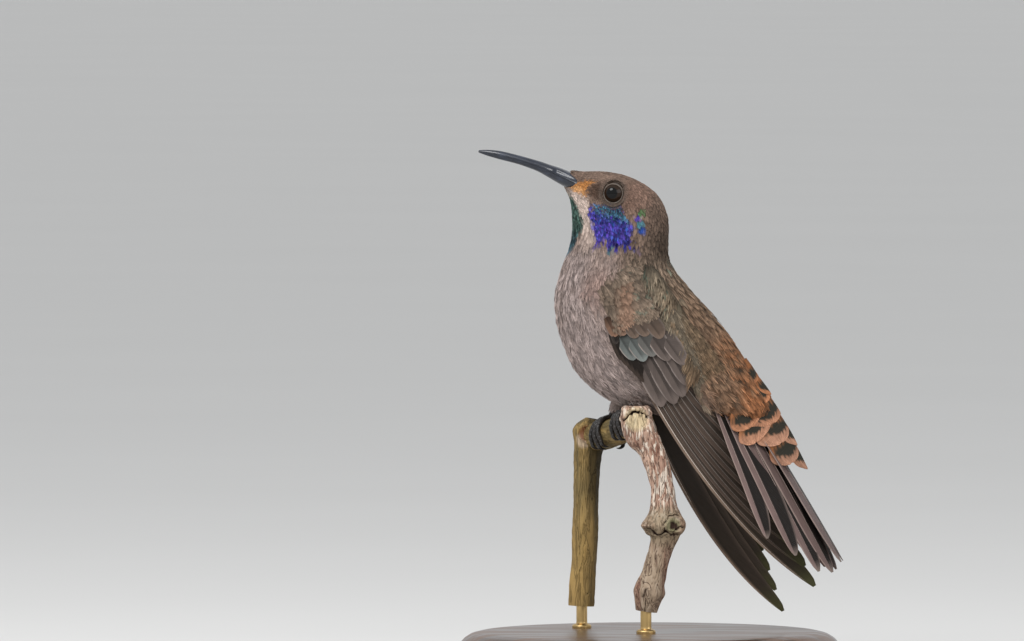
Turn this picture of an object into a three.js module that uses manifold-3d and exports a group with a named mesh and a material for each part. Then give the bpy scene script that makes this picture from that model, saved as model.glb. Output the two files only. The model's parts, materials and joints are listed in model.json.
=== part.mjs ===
// Brown violetear hummingbird: a still, life-size model that grips a cut twig on a display stand.
// Millimetres, +Z up. The origin is the centre of the base's underside.
// The bird faces -X, its left side faces -Y, and y = 0 is its middle plane.

import * as THREE from 'three';
import { LoftGeometry } from 'three/addons/geometries/LoftGeometry.js';
import { mergeVertices } from 'three/addons/utils/BufferGeometryUtils.js';
import Module from 'manifold-3d';

const wasm = await Module();
wasm.setup();

// ---- Driving dimensions -------------------------------------------------------------------

const gap = 0.3;                    // clearance between pieces that meet
const sides = { left: - 1, right: 1 };

const bodySegments = 20;            // points round a section of the body
const bodyRings = 30;               // sections from the bill's root to the tail's root

const tailUp = new THREE.Vector3( 0.863, 0, 0.505 );

const eyeRadius = 2.35;
const eyeDepth = 2.3;               // from the surface of the plumage to the eye's centre
const eyePlace = { x: - 6.8, z: 95.75 };
const orbitRadius = 4.4;
const orbitReach = 2.9;             // radius of the bare ring round the eye

const featherThickness = 0.5;
const primaryCount = 10;
const wingLength = 71.3;

const perchRadius = 2.9;
const toeRadius = 0.46;
const clawTipRadius = 0.26;

const baseRadius = 40;
const baseHeight = 8;
const rodRadius = 1.1;
const rodSocketDepth = 4;           // how deep a rod goes into the base and into the twig
const twigFoot = 12.5;              // height at which both stems of the twig are cut

// One row for each station of the body: a point on its back, a point on its front and half its width.
// swell moves the widest place towards the back.
const bodyStations = [
	{ name: 'bill root', back: [ - 16.7, 100.1 ], front: [ - 17.5, 97.2 ], half: 1.9, swell: 0 },
	{ name: 'forehead', back: [ - 13.4, 100.4 ], front: [ - 16.9, 95.7 ], half: 3.7, swell: 0 },
	{ name: 'brow', back: [ - 9.8, 100.45 ], front: [ - 16.3, 93.7 ], half: 5.4, swell: 0.05 },
	{ name: 'eye', back: [ - 5.6, 99.9 ], front: [ - 16.1, 91.9 ], half: 6.7, swell: 0.1 },
	{ name: 'crown', back: [ - 1.4, 98.2 ], front: [ - 16, 90 ], half: 7.4, swell: 0.1 },
	{ name: 'back of the head', back: [ 2.1, 95.5 ], front: [ - 16, 88.2 ], half: 7.6, swell: 0.05 },
	{ name: 'nape', back: [ 4.1, 91.4 ], front: [ - 16.2, 86.3 ], half: 7.6, swell: 0 },
	{ name: 'upper neck', back: [ 4.3, 87.3 ], front: [ - 16.8, 84 ], half: 7.9, swell: 0 },
	{ name: 'lower neck', back: [ 4.1, 83.3 ], front: [ - 17.9, 81 ], half: 8.8, swell: 0 },
	{ name: 'shoulders', back: [ 5.8, 79.8 ], front: [ - 19, 77.3 ], half: 9.9, swell: 0.05 },
	{ name: 'upper breast', back: [ 9.7, 75.3 ], front: [ - 19.5, 73.2 ], half: 10.5, swell: 0.05 },
	{ name: 'breast', back: [ 13.7, 70.8 ], front: [ - 18.9, 69 ], half: 10.6, swell: 0.05 },
	{ name: 'flank', back: [ 17.3, 66 ], front: [ - 17.7, 65.2 ], half: 10.5, swell: 0.05 },
	{ name: 'belly', back: [ 20.4, 61.1 ], front: [ - 15.6, 60.2 ], half: 10.1, swell: 0.1 },
	{ name: 'lower belly', back: [ 22.7, 57 ], front: [ - 11.6, 56.2 ], half: 9.3, swell: 0.15 },
	{ name: 'thighs', back: [ 24.1, 54.2 ], front: [ - 6.4, 52.9 ], half: 8.2, swell: 0.25 },
	{ name: 'vent', back: [ 25, 52.4 ], front: [ 1.6, 51.2 ], half: 6.8, swell: 0.3 },
	{ name: 'tail root', back: [ 25.2, 51.6 ], front: [ 8.2, 47.2 ], half: 5.2, swell: 0.3 },
	{ name: 'under the tail', back: [ 24.8, 50.4 ], front: [ 12, 44.6 ], half: 3.4, swell: 0.3 },
];

// Thin cuts that part the body, each through a point of the middle plane at a slope.
const bodyCuts = [
	{ below: 'head', x: - 6, z: 85.9, slope: 9 },
	{ below: 'neck', x: - 7, z: 79.7, slope: 5 },
	{ below: 'trunk', x: 20.5, z: 61, slope: 30.3 },
];

// The bill, from its tip to its root inside the face: the line where it closes, the height of each
// half of it, and half its width.
const billStations = [
	{ x: - 34.3, z: 103.85, upper: 0.3, lower: 0.3, half: 0.32 },
	{ x: - 30, z: 103.15, upper: 0.85, lower: 0.8, half: 0.75 },
	{ x: - 26, z: 102.15, upper: 0.9, lower: 0.85, half: 0.95 },
	{ x: - 22, z: 100.9, upper: 1, lower: 0.95, half: 1.2 },
	{ x: - 18.2, z: 99.2, upper: 1.35, lower: 1.2, half: 1.65 },
	{ x: - 15, z: 97.9, upper: 1.6, lower: 1.1, half: 1.9 },
];

// Each wing: where its bend lies, how steeply the line from the bend to the tip falls, and how far
// the front edge bows out from that line, against the usual.
const wings = {
	left: { x: - 8.1, z: 75.4, fall: 54.8, bow: 1 },
	right: { x: - 7.6, z: 74.6, fall: 61.6, bow: 1.3 },
};

// Left half of the tail, from the middle feather outwards. The right half mirrors it.
const tailFeathers = [
	{ root: [ 16.6, - 1.4, 58 ], tip: [ 38.4, - 2.4, 22.4 ], outer: 3.1, inner: 2.4, lean: 14 },
	{ root: [ 16, - 2.6, 57.4 ], tip: [ 36.9, - 6, 20.6 ], outer: 2.7, inner: 4.2, lean: 32 },
	{ root: [ 15.3, - 3.7, 56.7 ], tip: [ 34.8, - 9.5, 20.6 ], outer: 2.4, inner: 4.4, lean: 40 },
	{ root: [ 14.4, - 4.9, 55.9 ], tip: [ 30.2, - 12.5, 24.4 ], outer: 2.1, inner: 4.4, lean: 45 },
	{ root: [ 13.5, - 6, 55 ], tip: [ 24.9, - 15, 27.9 ], outer: 1.6, inner: 4.2, lean: 50 },
];

// The twig: a front stem nearer the bird's left, a cross piece that the feet grip, and a rear stem.
const frontStem = [
	{ at: [ - 1.7, - 8.7, 52.9 ], r: 2.7 },
	{ at: [ - 0.8, - 8.8, 50.5 ], r: 3.5 },
	{ at: [ 0.7, - 9, 46.5 ], r: 3 },
	{ at: [ 2.2, - 9, 42 ], r: 2.5 },
	{ at: [ 3.2, - 9, 37.5 ], r: 2.3 },
	{ at: [ 3.5, - 9, 33 ], r: 2.9 },
	{ at: [ 3.7, - 9, 29.7 ], r: 4.3 },
	{ at: [ 3.5, - 9, 27 ], r: 2.8 },
	{ at: [ 2.6, - 9, 23.5 ], r: 2.35 },
	{ at: [ 1.5, - 9, 19.5 ], r: 2.5 },
	{ at: [ 0.6, - 9, 16.4 ], r: 3.1 },
	{ at: [ 0, - 9, twigFoot ], r: 2.1 },
];
const rearStem = [
	{ at: [ - 11.9, 10.4, 50 ], r: 1.7 },
	{ at: [ - 12.4, 10.4, 47.4 ], r: 3.2 },
	{ at: [ - 13.2, 10.3, 43 ], r: 2.9 },
	{ at: [ - 13.5, 10.2, 37 ], r: 2.6 },
	{ at: [ - 13.8, 10, 25 ], r: 2.6 },
	{ at: [ - 14.5, 9.9, twigFoot ], r: 2.6 },
];
const crossPiece = [
	{ at: [ - 12.4, 10.4, 46.6 ], r: 2.7 },
	{ at: [ - 9.4, 5.5, 46.9 ], r: 2.9 },
	{ at: [ - 6, 0, 48.2 ], r: perchRadius },
	{ at: [ - 3.2, - 4.5, 49.6 ], r: perchRadius },
	{ at: [ - 0.8, - 8.8, 50.3 ], r: 2.7 },
];

// ---- Helpers ------------------------------------------------------------------------------

const material = ( color, roughness, metalness = 0 ) =>
	new THREE.MeshStandardMaterial( { color, roughness, metalness } );

const finishes = {
	plumage: material( 0x6f6259, 0.85 ),
	rufous: material( 0x8a5f43, 0.85 ),
	flightFeather: material( 0x3d322d, 0.6 ),
	bill: material( 0x1d2430, 0.3 ),
	eye: material( 0x0b0a0a, 0.08 ),
	foot: material( 0x1a1817, 0.45 ),
	bark: material( 0xa08876, 0.9 ),
	wood: material( 0x4a2d1c, 0.4 ),
	brass: material( 0xb08d4c, 0.35, 1 ),
};

// Six times the volume inside a loft, measured from its own middle: negative if it is inside out.
function facing( geometry ) {

	const { position } = geometry.attributes;
	const middle = new THREE.Box3().setFromBufferAttribute( position ).getCenter( new THREE.Vector3() );
	const corner = ( i ) => new THREE.Vector3().fromBufferAttribute( position, geometry.index.getX( i ) ).sub( middle );
	let volume = 0;
	for ( let i = 0; i < geometry.index.count; i += 3 ) {

		volume += corner( i ).dot( corner( i + 1 ).cross( corner( i + 2 ) ) );

	}

	return volume;

}

// A closed loft that faces outwards whichever way its sections run.
function closedLoft( sections ) {

	const caps = { capStart: true, capEnd: true };
	const loft = new LoftGeometry( sections, caps );
	if ( facing( loft ) > 0 ) return loft;
	return new LoftGeometry( sections.map( ( ring ) => [ ...ring ].reverse() ), caps );

}

function solidOf( geometry ) {

	const bare = new THREE.BufferGeometry();
	bare.setAttribute( 'position', geometry.attributes.position );
	bare.setIndex( geometry.index );
	const merged = mergeVertices( bare );
	return new wasm.Manifold( new wasm.Mesh( {
		numProp: 3,
		vertProperties: new Float32Array( merged.attributes.position.array ),
		triVerts: new Uint32Array( merged.index.array ),
	} ) );

}

function geometryOf( solid ) {

	const mesh = solid.getMesh();
	const geometry = new THREE.BufferGeometry();
	geometry.setAttribute( 'position', new THREE.BufferAttribute( new Float32Array( mesh.vertProperties ), 3 ) );
	geometry.setIndex( new THREE.BufferAttribute( new Uint32Array( mesh.triVerts ), 1 ) );
	geometry.computeVertexNormals();
	return geometry;

}

const largest = ( solid ) =>
	solid.decompose().reduce( ( best, piece ) => ( piece.volume() > best.volume() ? piece : best ) );

const joined = ( solids ) => solids.reduce( ( whole, piece ) => whole.add( piece ) );

const subtractAll = ( solid, tools ) => tools.reduce( ( rest, tool ) => rest.subtract( tool ), solid );

// Smooth curve of any set of numbers, one set for each station.
function smoothRows( rows ) {

	const last = rows.length - 1;
	return ( u ) => {

		const place = THREE.MathUtils.clamp( u, 0, 1 ) * last;
		const i = Math.min( Math.floor( place ), last - 1 );
		const w = place - i;
		const before = rows[ Math.max( i - 1, 0 ) ];
		const after = rows[ Math.min( i + 2, last ) ];
		return rows[ i ].map( ( value, k ) => {

			const next = rows[ i + 1 ][ k ];
			const slope0 = ( next - before[ k ] ) / 2;
			const slope1 = ( after[ k ] - value ) / 2;
			const rise = next - value;
			return value + w * ( slope0 + w * ( 3 * rise - 2 * slope0 - slope1 + w * ( slope0 + slope1 - 2 * rise ) ) );

		} );

	};

}

// A round tube of changing radius through stations { at, r }, square to its path.
function tubeLoft( stations, rings, around, grow = 0 ) {

	const path = smoothRows( stations.map( ( station ) => [ ...station.at, station.r ] ) );
	const point = ( u ) => new THREE.Vector3( ...path( u ).slice( 0, 3 ) );
	const across = new THREE.Vector3( 0.12, 0.99, 0.05 );
	const sections = [];
	for ( let i = 0; i <= rings; i ++ ) {

		const u = i / rings;
		const centre = point( u );
		const along = point( Math.min( u + 0.01, 1 ) ).sub( point( Math.max( u - 0.01, 0 ) ) ).normalize();
		if ( i === 0 ) {

			centre.addScaledVector( along, - grow );
			if ( Math.abs( along.y ) > 0.7 ) across.set( 0.2, 0.1, 0.97 );

		}

		if ( i === rings ) centre.addScaledVector( along, grow );
		across.addScaledVector( along, - across.dot( along ) ).normalize();
		const up = new THREE.Vector3().crossVectors( across, along );
		const radius = path( u )[ 3 ] + grow;
		const ring = [];
		for ( let j = 0; j < around; j ++ ) {

			const angle = j / around * Math.PI * 2;
			ring.push( centre.clone()
				.addScaledVector( across, Math.cos( angle ) * radius )
				.addScaledVector( up, Math.sin( angle ) * radius ) );

		}

		sections.push( ring );

	}

	return closedLoft( sections );

}

// ---- Head, neck and trunk, modelled whole -------------------------------------------------

const bodyAt = smoothRows( bodyStations.map( ( { back, front, half, swell } ) => [ ...back, ...front, half, swell ] ) );

function bodySolid( grow ) {

	const sections = [];
	for ( let i = 0; i <= bodyRings; i ++ ) {

		const [ backX, backZ, frontX, frontZ, half, swell ] = bodyAt( i / bodyRings );
		const centre = new THREE.Vector3( ( backX + frontX ) / 2, 0, ( backZ + frontZ ) / 2 );
		const reach = new THREE.Vector3( ( backX - frontX ) / 2, 0, ( backZ - frontZ ) / 2 );
		const grown = 1 + grow / reach.length();
		const ring = [];
		for ( let j = 0; j < bodySegments; j ++ ) {

			const angle = j / bodySegments * Math.PI * 2;
			const across = Math.sin( angle ) * ( 1 + swell * Math.cos( angle ) ) * ( half + grow );
			ring.push( centre.clone().addScaledVector( reach, Math.cos( angle ) * grown ).setY( across ) );

		}

		sections.push( ring );

	}

	return solidOf( closedLoft( sections ) );

}

// Half the body's width at a point of its side view.
function bodyHalfWidth( x, z ) {

	let low = 0;
	let high = 1;
	const offset = ( u ) => {

		const [ backX, backZ, frontX, frontZ ] = bodyAt( u );
		return ( x - frontX ) * ( backZ - frontZ ) - ( z - frontZ ) * ( backX - frontX );

	};

	for ( let i = 0; i < 30; i ++ ) {

		const middle = ( low + high ) / 2;
		if ( offset( middle ) > 0 ) low = middle;
		else high = middle;

	}

	const [ backX, backZ, frontX, frontZ, half, swell ] = bodyAt( low );
	const reach = Math.hypot( backX - frontX, backZ - frontZ ) / 2;
	const along = ( ( x - ( backX + frontX ) / 2 ) * ( backX - frontX )
		+ ( z - ( backZ + frontZ ) / 2 ) * ( backZ - frontZ ) ) / ( 2 * reach * reach );
	return half * Math.sqrt( Math.max( 1 - along * along, 0 ) ) * ( 1 + swell * along );

}

// The large coverts over the tail: a draped blade that narrows from the rump to one last feather.
function upperTailCoverts() {

	const start = new THREE.Vector3( 20.6, 0, 59.6 );
	const end = new THREE.Vector3( 31, 0, 41.4 );
	const rings = 8;
	const around = 12;
	const sections = [];
	for ( let i = 0; i <= rings; i ++ ) {

		const u = i / rings;
		const narrowing = Math.pow( 1 - u, 0.6 );
		const half = 0.7 + 7.3 * narrowing;
		const drape = 0.4 + 8.2 * narrowing;
		const thick = 0.45 + 1.5 * ( 1 - u );
		const bulge = Math.sin( u * Math.PI ) * 0.6;
		const spine = start.clone().lerp( end, u ).addScaledVector( tailUp, bulge - thick );
		const ring = [];
		for ( let j = 0; j < around; j ++ ) {

			const angle = j / around * Math.PI * 2;
			const across = Math.sin( angle );
			const height = Math.cos( angle ) * thick - Math.pow( Math.abs( across ), 1.5 ) * drape;
			ring.push( spine.clone().addScaledVector( tailUp, height ).setY( across * half ) );

		}

		sections.push( ring );

	}

	return solidOf( closedLoft( sections ) );

}

// The softer coverts under the tail.
function lowerTailCoverts() {

	const stations = [
		{ at: [ 9, 0, 51 ], half: 5.2, high: 5 },
		{ at: [ 13.2, 0, 45.2 ], half: 4.6, high: 4.2 },
		{ at: [ 17.6, 0, 39 ], half: 3.6, high: 2.8 },
		{ at: [ 20.8, 0, 34.2 ], half: 1.6, high: 0.9 },
		{ at: [ 21.8, 0, 32.6 ], half: 0.7, high: 0.35 },
	];
	const path = smoothRows( stations.map( ( { at, half, high } ) => [ ...at, half, high ] ) );
	const rings = 6;
	const around = 10;
	const sections = [];
	for ( let i = 0; i <= rings; i ++ ) {

		const [ x, y, z, half, high ] = path( i / rings );
		const ring = [];
		for ( let j = 0; j < around; j ++ ) {

			const angle = j / around * Math.PI * 2;
			ring.push( new THREE.Vector3( x, y, z )
				.addScaledVector( tailUp, Math.cos( angle ) * high )
				.setY( Math.sin( angle ) * half ) );

		}

		sections.push( ring );

	}

	return solidOf( closedLoft( sections ) );

}

// A thin slab through a point of the middle plane, sloping up towards the back.
function cuttingSlab( { x, z, slope } ) {

	const slab = new THREE.BoxGeometry( 70, 50, gap );
	slab.rotateY( - THREE.MathUtils.degToRad( slope ) );
	slab.translate( x, 0, z );
	return solidOf( slab );

}

// ---- Bill ---------------------------------------------------------------------------------

const billAt = smoothRows( billStations.map( ( { x, z, upper, lower, half } ) => [ x, z, upper, lower, half ] ) );

// Half of the bill, over or under the line where it closes: a dome on a flat.
function billHalf( over, grow ) {

	const rings = 9;
	const around = 8;
	const lean = new THREE.Vector3( 0.28, 0, 0.96 );
	const sections = [];
	for ( let i = 0; i <= rings; i ++ ) {

		const [ x, z, upper, lower, half ] = billAt( i / rings );
		const height = Math.max( over ? upper : lower, gap / 2 + 0.3 ) + grow;
		const near = gap / 2 - grow;
		const shift = i === rings ? 2 * grow : 0;
		const width = ( over ? half : half * 0.9 ) + grow;
		const ring = [];
		for ( let j = 0; j < around; j ++ ) {

			const angle = j / ( around - 1 ) * Math.PI;
			const level = near + Math.sin( angle ) * ( height - near );
			ring.push( new THREE.Vector3( x + shift, Math.cos( angle ) * width, z )
				.addScaledVector( lean, over ? level : - level ) );

		}

		sections.push( ring );

	}

	return solidOf( closedLoft( sections ) );

}

// ---- Eyes ---------------------------------------------------------------------------------

const eyeSurface = bodyHalfWidth( eyePlace.x, eyePlace.z );

function eyeBall( side, grow ) {

	const ball = new THREE.SphereGeometry( eyeRadius + grow, 12, 7 );
	ball.translate( eyePlace.x, side * ( eyeSurface - eyeDepth ), eyePlace.z );
	return solidOf( ball );

}

// The shallow bare dish round the eye.
function orbit( side ) {

	const dish = new THREE.SphereGeometry( orbitRadius, 14, 8 );
	const stand = Math.sqrt( orbitRadius * orbitRadius - orbitReach * orbitReach );
	dish.translate( eyePlace.x, side * ( eyeSurface + stand ), eyePlace.z );
	return solidOf( dish );

}

// ---- Wings --------------------------------------------------------------------------------

// A wing is laid out flat: s runs from its bend to its tip, t from its front edge to its back edge,
// and lift stands out from the body.
function wingFrame( name ) {

	const side = sides[ name ];
	const { x, z, fall } = wings[ name ];
	const angle = THREE.MathUtils.degToRad( fall );
	return ( s, t, lift ) => {

		const tuck = 1.1 * ( 1 - THREE.MathUtils.smoothstep( s, - 2, 9 ) );
		const flank = THREE.MathUtils.lerp( 10.9, 5.2, THREE.MathUtils.smoothstep( s, 16, 80 ) );
		const tilt = THREE.MathUtils.lerp( 0.1, 0.48, THREE.MathUtils.smoothstep( s, 14, 36 ) );
		return new THREE.Vector3(
			x + s * Math.cos( angle ) + t * Math.sin( angle ),
			side * ( flank - tuck - tilt * ( t + 5 ) + lift ),
			z - s * Math.sin( angle ) + t * Math.cos( angle )
		);

	};

}

// One primary, counted from the outermost: its front edge is a bowed curve from root to tip, and its
// vane reaches back from that edge. Returns rows of { s, front, back } along it.
function primaryOutline( number, bowing ) {

	const drop = 37 * Math.pow( number / ( primaryCount - 1 ), 1.25 );
	const root = new THREE.Vector2( 2 + 0.8 * number, - 1 + 0.62 * number );
	const tip = new THREE.Vector2( wingLength - drop, 0.72 * number );
	const length = root.distanceTo( tip );
	const chord = tip.clone().sub( root ).normalize();
	const bow = new THREE.Vector2( chord.y, - chord.x ).multiplyScalar( length * bowing );
	const edge = new THREE.CubicBezierCurve(
		root,
		root.clone().addScaledVector( chord, length * 0.31 ).addScaledVector( bow, 0.08 ),
		root.clone().addScaledVector( chord, length * 0.73 ).addScaledVector( bow, 0.105 ),
		tip
	);
	const width = 4.6 + 0.12 * number;
	const rows = [];
	for ( let i = 0; i <= 24; i ++ ) {

		const u = i / 24;
		const { x, y } = edge.getPoint( u );
		const swell = Math.min( 1, 0.4 + 3 * u );
		const taper = Math.sqrt( Math.max( 1 - Math.pow( Math.max( u - 0.62, 0 ) / 0.38, 2 ), 0 ) );
		rows.push( { s: x, front: y, back: y + Math.max( width * swell * taper, featherThickness ) } );

	}

	return rows;

}

// The edge of one primary at a distance s along the wing, or nothing where it doesn't reach.
function edgeAt( rows, s, key ) {

	const i = rows.findIndex( ( row, k ) => k > 0 && row.s >= s && rows[ k - 1 ].s <= s );
	if ( i < 0 ) return undefined;
	const before = rows[ i - 1 ];
	const w = ( s - before.s ) / Math.max( rows[ i ].s - before.s, 0.001 );
	return THREE.MathUtils.lerp( before[ key ], rows[ i ][ key ], w );

}

// The folded primaries, one blade whose back edge steps in at each feather's tip.
function primaries( name, grow ) {

	const place = wingFrame( name );
	const outlines = Array.from( { length: primaryCount }, ( _, number ) => primaryOutline( number, wings[ name ].bow ) );
	const first = outlines[ 0 ];
	const start = first[ 0 ].s;
	const end = first[ first.length - 1 ].s;
	const rings = 22;
	const sections = [];
	for ( let i = 0; i <= rings; i ++ ) {

		const u = 1 - Math.pow( 1 - i / rings, 1.3 );
		const s = THREE.MathUtils.lerp( start, end, u );
		const front = edgeAt( first, s, 'front' );
		const backs = outlines.map( ( rows ) => edgeAt( rows, s, 'back' ) ).filter( ( t ) => t !== undefined );
		const back = Math.max( ...backs );
		const thick = THREE.MathUtils.lerp( 1.7, featherThickness + 0.1, Math.pow( u, 0.7 ) );
		const past = ( i === 0 ? - grow : 0 ) + ( i === rings ? grow : 0 );
		const middle = THREE.MathUtils.lerp( front, back, 0.6 );
		const low = - 0.25 - grow;
		sections.push( [
			place( s + past, front - grow, 0.25 + grow ),
			place( s + past, middle, thick + grow - 0.25 ),
			place( s + past, back + grow, thick + grow - 0.35 ),
			place( s + past, back + grow, low ),
			place( s + past, front - grow, low ),
		] );

	}

	return solidOf( closedLoft( sections ) );

}

// The arm with its coverts and the short secondaries, one lens-shaped pad over the flank.
function wingCoverts( name ) {

	const place = wingFrame( name );
	const outline = smoothRows( [
		[ - 3.2, 3, 4.6 ],
		[ - 2.2, - 0.3, 8.2 ],
		[ 2, - 1.3, 10 ],
		[ 8, - 2.9, 10 ],
		[ 14, - 3.8, 9 ],
		[ 20, - 4.2, 7.6 ],
		[ 24, - 3.6, 5.6 ],
		[ 26.4, - 1.2, 3.2 ],
	] );
	const rings = 9;
	const across = 4;
	const sections = [];
	for ( let i = 0; i <= rings; i ++ ) {

		const [ s, front, back ] = outline( i / rings );
		const ends = Math.pow( Math.sin( Math.PI * THREE.MathUtils.clamp( ( s + 4.6 ) / 33, 0.05, 0.95 ) ), 0.6 );
		const outside = [];
		const inside = [];
		for ( let j = 0; j <= across; j ++ ) {

			const w = j / across;
			const t = THREE.MathUtils.lerp( front, back, w );
			const dome = Math.pow( Math.sin( Math.PI * THREE.MathUtils.clamp( w, 0.06, 0.94 ) ), 0.5 );
			outside.push( place( s, t, 0.4 + 2.1 * ends * dome ) );
			inside.push( place( s, t, - 2.4 ) );

		}

		sections.push( [ ...outside, ...inside.reverse() ] );

	}

	return solidOf( closedLoft( sections ) );

}

// ---- Tail ---------------------------------------------------------------------------------

function tailHalf( name, grow ) {

	const side = sides[ name ];
	const blades = tailFeathers.map( ( feather, order ) => {

		const root = new THREE.Vector3( ...feather.root );
		const tip = new THREE.Vector3( ...feather.tip );
		const lean = THREE.MathUtils.degToRad( feather.lean );
		const shaft = tip.clone().sub( root ).normalize();
		const outward = new THREE.Vector3( 0, - Math.cos( lean ), 0 ).addScaledVector( tailUp, - Math.sin( lean ) );
		outward.addScaledVector( shaft, - outward.dot( shaft ) ).normalize();
		const up = new THREE.Vector3().crossVectors( shaft, outward ).normalize();
		if ( up.dot( tailUp ) < 0 ) up.negate();
		const half = featherThickness / 2 + grow;
		const rings = 4;
		const sections = [];
		for ( let i = 0; i <= rings; i ++ ) {

			const u = 1 - Math.pow( 1 - i / rings, 1.8 );
			const swell = Math.min( 1, 0.45 + 1.6 * u );
			const taper = Math.sqrt( Math.max( 1 - Math.pow( Math.max( u - 0.8, 0 ) / 0.2, 2 ), 0 ) );
			const outer = Math.max( feather.outer * swell * taper, 0.3 ) + grow;
			const inner = Math.max( feather.inner * swell * taper, 0.3 ) + grow;
			const end = ( i === 0 ? - grow : 0 ) + ( i === rings ? grow : 0 );
			const centre = root.clone().lerp( tip, u ).addScaledVector( shaft, end );
			centre.addScaledVector( up, - order * 0.22 );
			sections.push( [
				centre.clone().addScaledVector( outward, outer ).addScaledVector( up, half ),
				centre.clone().addScaledVector( outward, - inner ).addScaledVector( up, half ),
				centre.clone().addScaledVector( outward, - inner ).addScaledVector( up, - half ),
				centre.clone().addScaledVector( outward, outer ).addScaledVector( up, - half ),
			] );

		}

		if ( side > 0 ) sections.forEach( ( ring ) => ring.forEach( ( point ) => point.setY( - point.y ) ) );
		return solidOf( closedLoft( sections ) );

	} );
	const otherHalf = new THREE.BoxGeometry( 120, 40, 120 );
	otherHalf.translate( 0, - side * ( 20 - gap / 2 + grow ), 40 );
	return joined( blades ).subtract( solidOf( otherHalf ) );

}

// ---- Feet ---------------------------------------------------------------------------------

// A foot grips the cross piece: three toes forward and one back, each with its claw, on a short shank.
function foot( name, grow ) {

	const side = sides[ name ];
	const perch = smoothRows( crossPiece.map( ( { at, r } ) => [ ...at, r ] ) );
	const share = side < 0 ? 0.71 : 0.33;
	const [ x, y, z, perchR ] = perch( share );
	const centre = new THREE.Vector3( x, y, z );
	const axis = new THREE.Vector3( ...perch( share + 0.02 ).slice( 0, 3 ) ).sub( centre ).normalize();
	const forward = new THREE.Vector3( - 1, 0, 0 );
	forward.addScaledVector( axis, - forward.dot( axis ) ).normalize();
	const up = new THREE.Vector3().crossVectors( axis, forward ).normalize();
	if ( up.z < 0 ) up.negate();

	const around = ( degrees, distance, shift ) => {

		const angle = THREE.MathUtils.degToRad( degrees );
		return centre.clone()
			.addScaledVector( axis, shift )
			.addScaledVector( forward, Math.sin( angle ) * distance )
			.addScaledVector( up, Math.cos( angle ) * distance )
			.toArray();

	};

	const seat = perchR + gap + toeRadius + 0.2;
	const toes = [
		{ from: - 4, to: 118, shift: - 1.5 },
		{ from: - 4, to: 128, shift: 0 },
		{ from: - 4, to: 118, shift: 1.5 },
		{ from: 4, to: - 112, shift: 0.1 },
	];
	const tubes = toes.map( ( { from, to, shift } ) => {

		const turn = Math.sign( to - from );
		const stations = [];
		for ( let i = 0; i <= 4; i ++ ) {

			const w = i / 4;
			const spread = shift * Math.min( 1, 0.35 + w );
			stations.push( { at: around( from + ( to - from ) * w, seat, spread ), r: toeRadius * ( 1 - 0.15 * w ) } );

		}

		stations.push( { at: around( to + turn * 14, seat + 0.15, shift ), r: toeRadius * 0.8 } );
		stations.push( { at: around( to + turn * 34, seat - 0.1, shift ), r: clawTipRadius } );
		return solidOf( tubeLoft( stations, 6, 6, grow ) );

	} );
	const shank = [
		{ at: around( 0, seat - 0.1, 0 ), r: 0.6 },
		{ at: [ x + 1.2, y, z + perchR + 2.4 ], r: 0.6 },
		{ at: [ x + 3, y * 1.05, z + perchR + 5 ], r: 1 },
	];
	return joined( [ ...tubes, solidOf( tubeLoft( shank, 4, 6, grow ) ) ] );

}

// ---- Twig and stand -----------------------------------------------------------------------

const stemRings = { front: 18, rear: 7, cross: 6 };
const twigSides = 10;

const rods = {
	front: { x: 0, y: - 9 },
	rear: { x: - 14.4, y: 9.9 },
};

function rod( { x, y }, grow ) {

	const bottom = baseHeight - rodSocketDepth;
	const height = twigFoot + rodSocketDepth - bottom;
	const pin = new THREE.CylinderGeometry( rodRadius + grow, rodRadius + grow, height + 2 * grow, 12 );
	pin.rotateX( Math.PI / 2 );
	pin.translate( x, y, bottom + height / 2 );
	return solidOf( pin );

}

function standBase() {

	const edge = new THREE.Path();
	edge.moveTo( 0, 0 );
	edge.lineTo( baseRadius - 0.8, 0 );
	edge.lineTo( baseRadius, 0.8 );
	edge.lineTo( baseRadius, 3.2 );
	edge.lineTo( baseRadius - 1.4, 3.8 );
	edge.quadraticCurveTo( baseRadius - 1.8, baseHeight - 0.6, baseRadius - 6, baseHeight );
	edge.lineTo( 0, baseHeight );
	const profile = edge.getPoints( 3 );
	return solidOf( new THREE.LatheGeometry( profile, 32 ).rotateX( Math.PI / 2 ) );

}

// ---- Assembly -----------------------------------------------------------------------------

const group = new THREE.Group();

function addPart( parent, name, solid, finish ) {

	const mesh = new THREE.Mesh( geometryOf( solid ), finish );
	mesh.name = name;
	parent.add( mesh );

}

const bird = new THREE.Group();
const perch = new THREE.Group();
const stand = new THREE.Group();
group.add( bird, perch, stand );

const sideNames = Object.keys( sides );

const fleshTools = [
	billHalf( true, gap ),
	billHalf( false, gap ),
	...sideNames.flatMap( ( name ) => [
		orbit( sides[ name ] ),
		eyeBall( sides[ name ], gap ),
		tailHalf( name, gap ),
		foot( name, gap ),
	] ),
	...bodyCuts.map( cuttingSlab ),
];
const flesh = subtractAll( joined( [ bodySolid( 0 ), upperTailCoverts(), lowerTailCoverts() ] ), fleshTools );
const fleshPieces = flesh.decompose()
	.filter( ( piece ) => piece.volume() > 50 )
	.sort( ( a, b ) => b.boundingBox().max[ 2 ] - a.boundingBox().max[ 2 ] );
[ 'head', 'neck', 'trunk', 'rump' ].forEach( ( name, i ) => {

	addPart( bird, name, fleshPieces[ i ], name === 'rump' ? finishes.rufous : finishes.plumage );

} );

addPart( bird, 'bill_upper', billHalf( true, 0 ), finishes.bill );
addPart( bird, 'bill_lower', billHalf( false, 0 ), finishes.bill );

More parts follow.
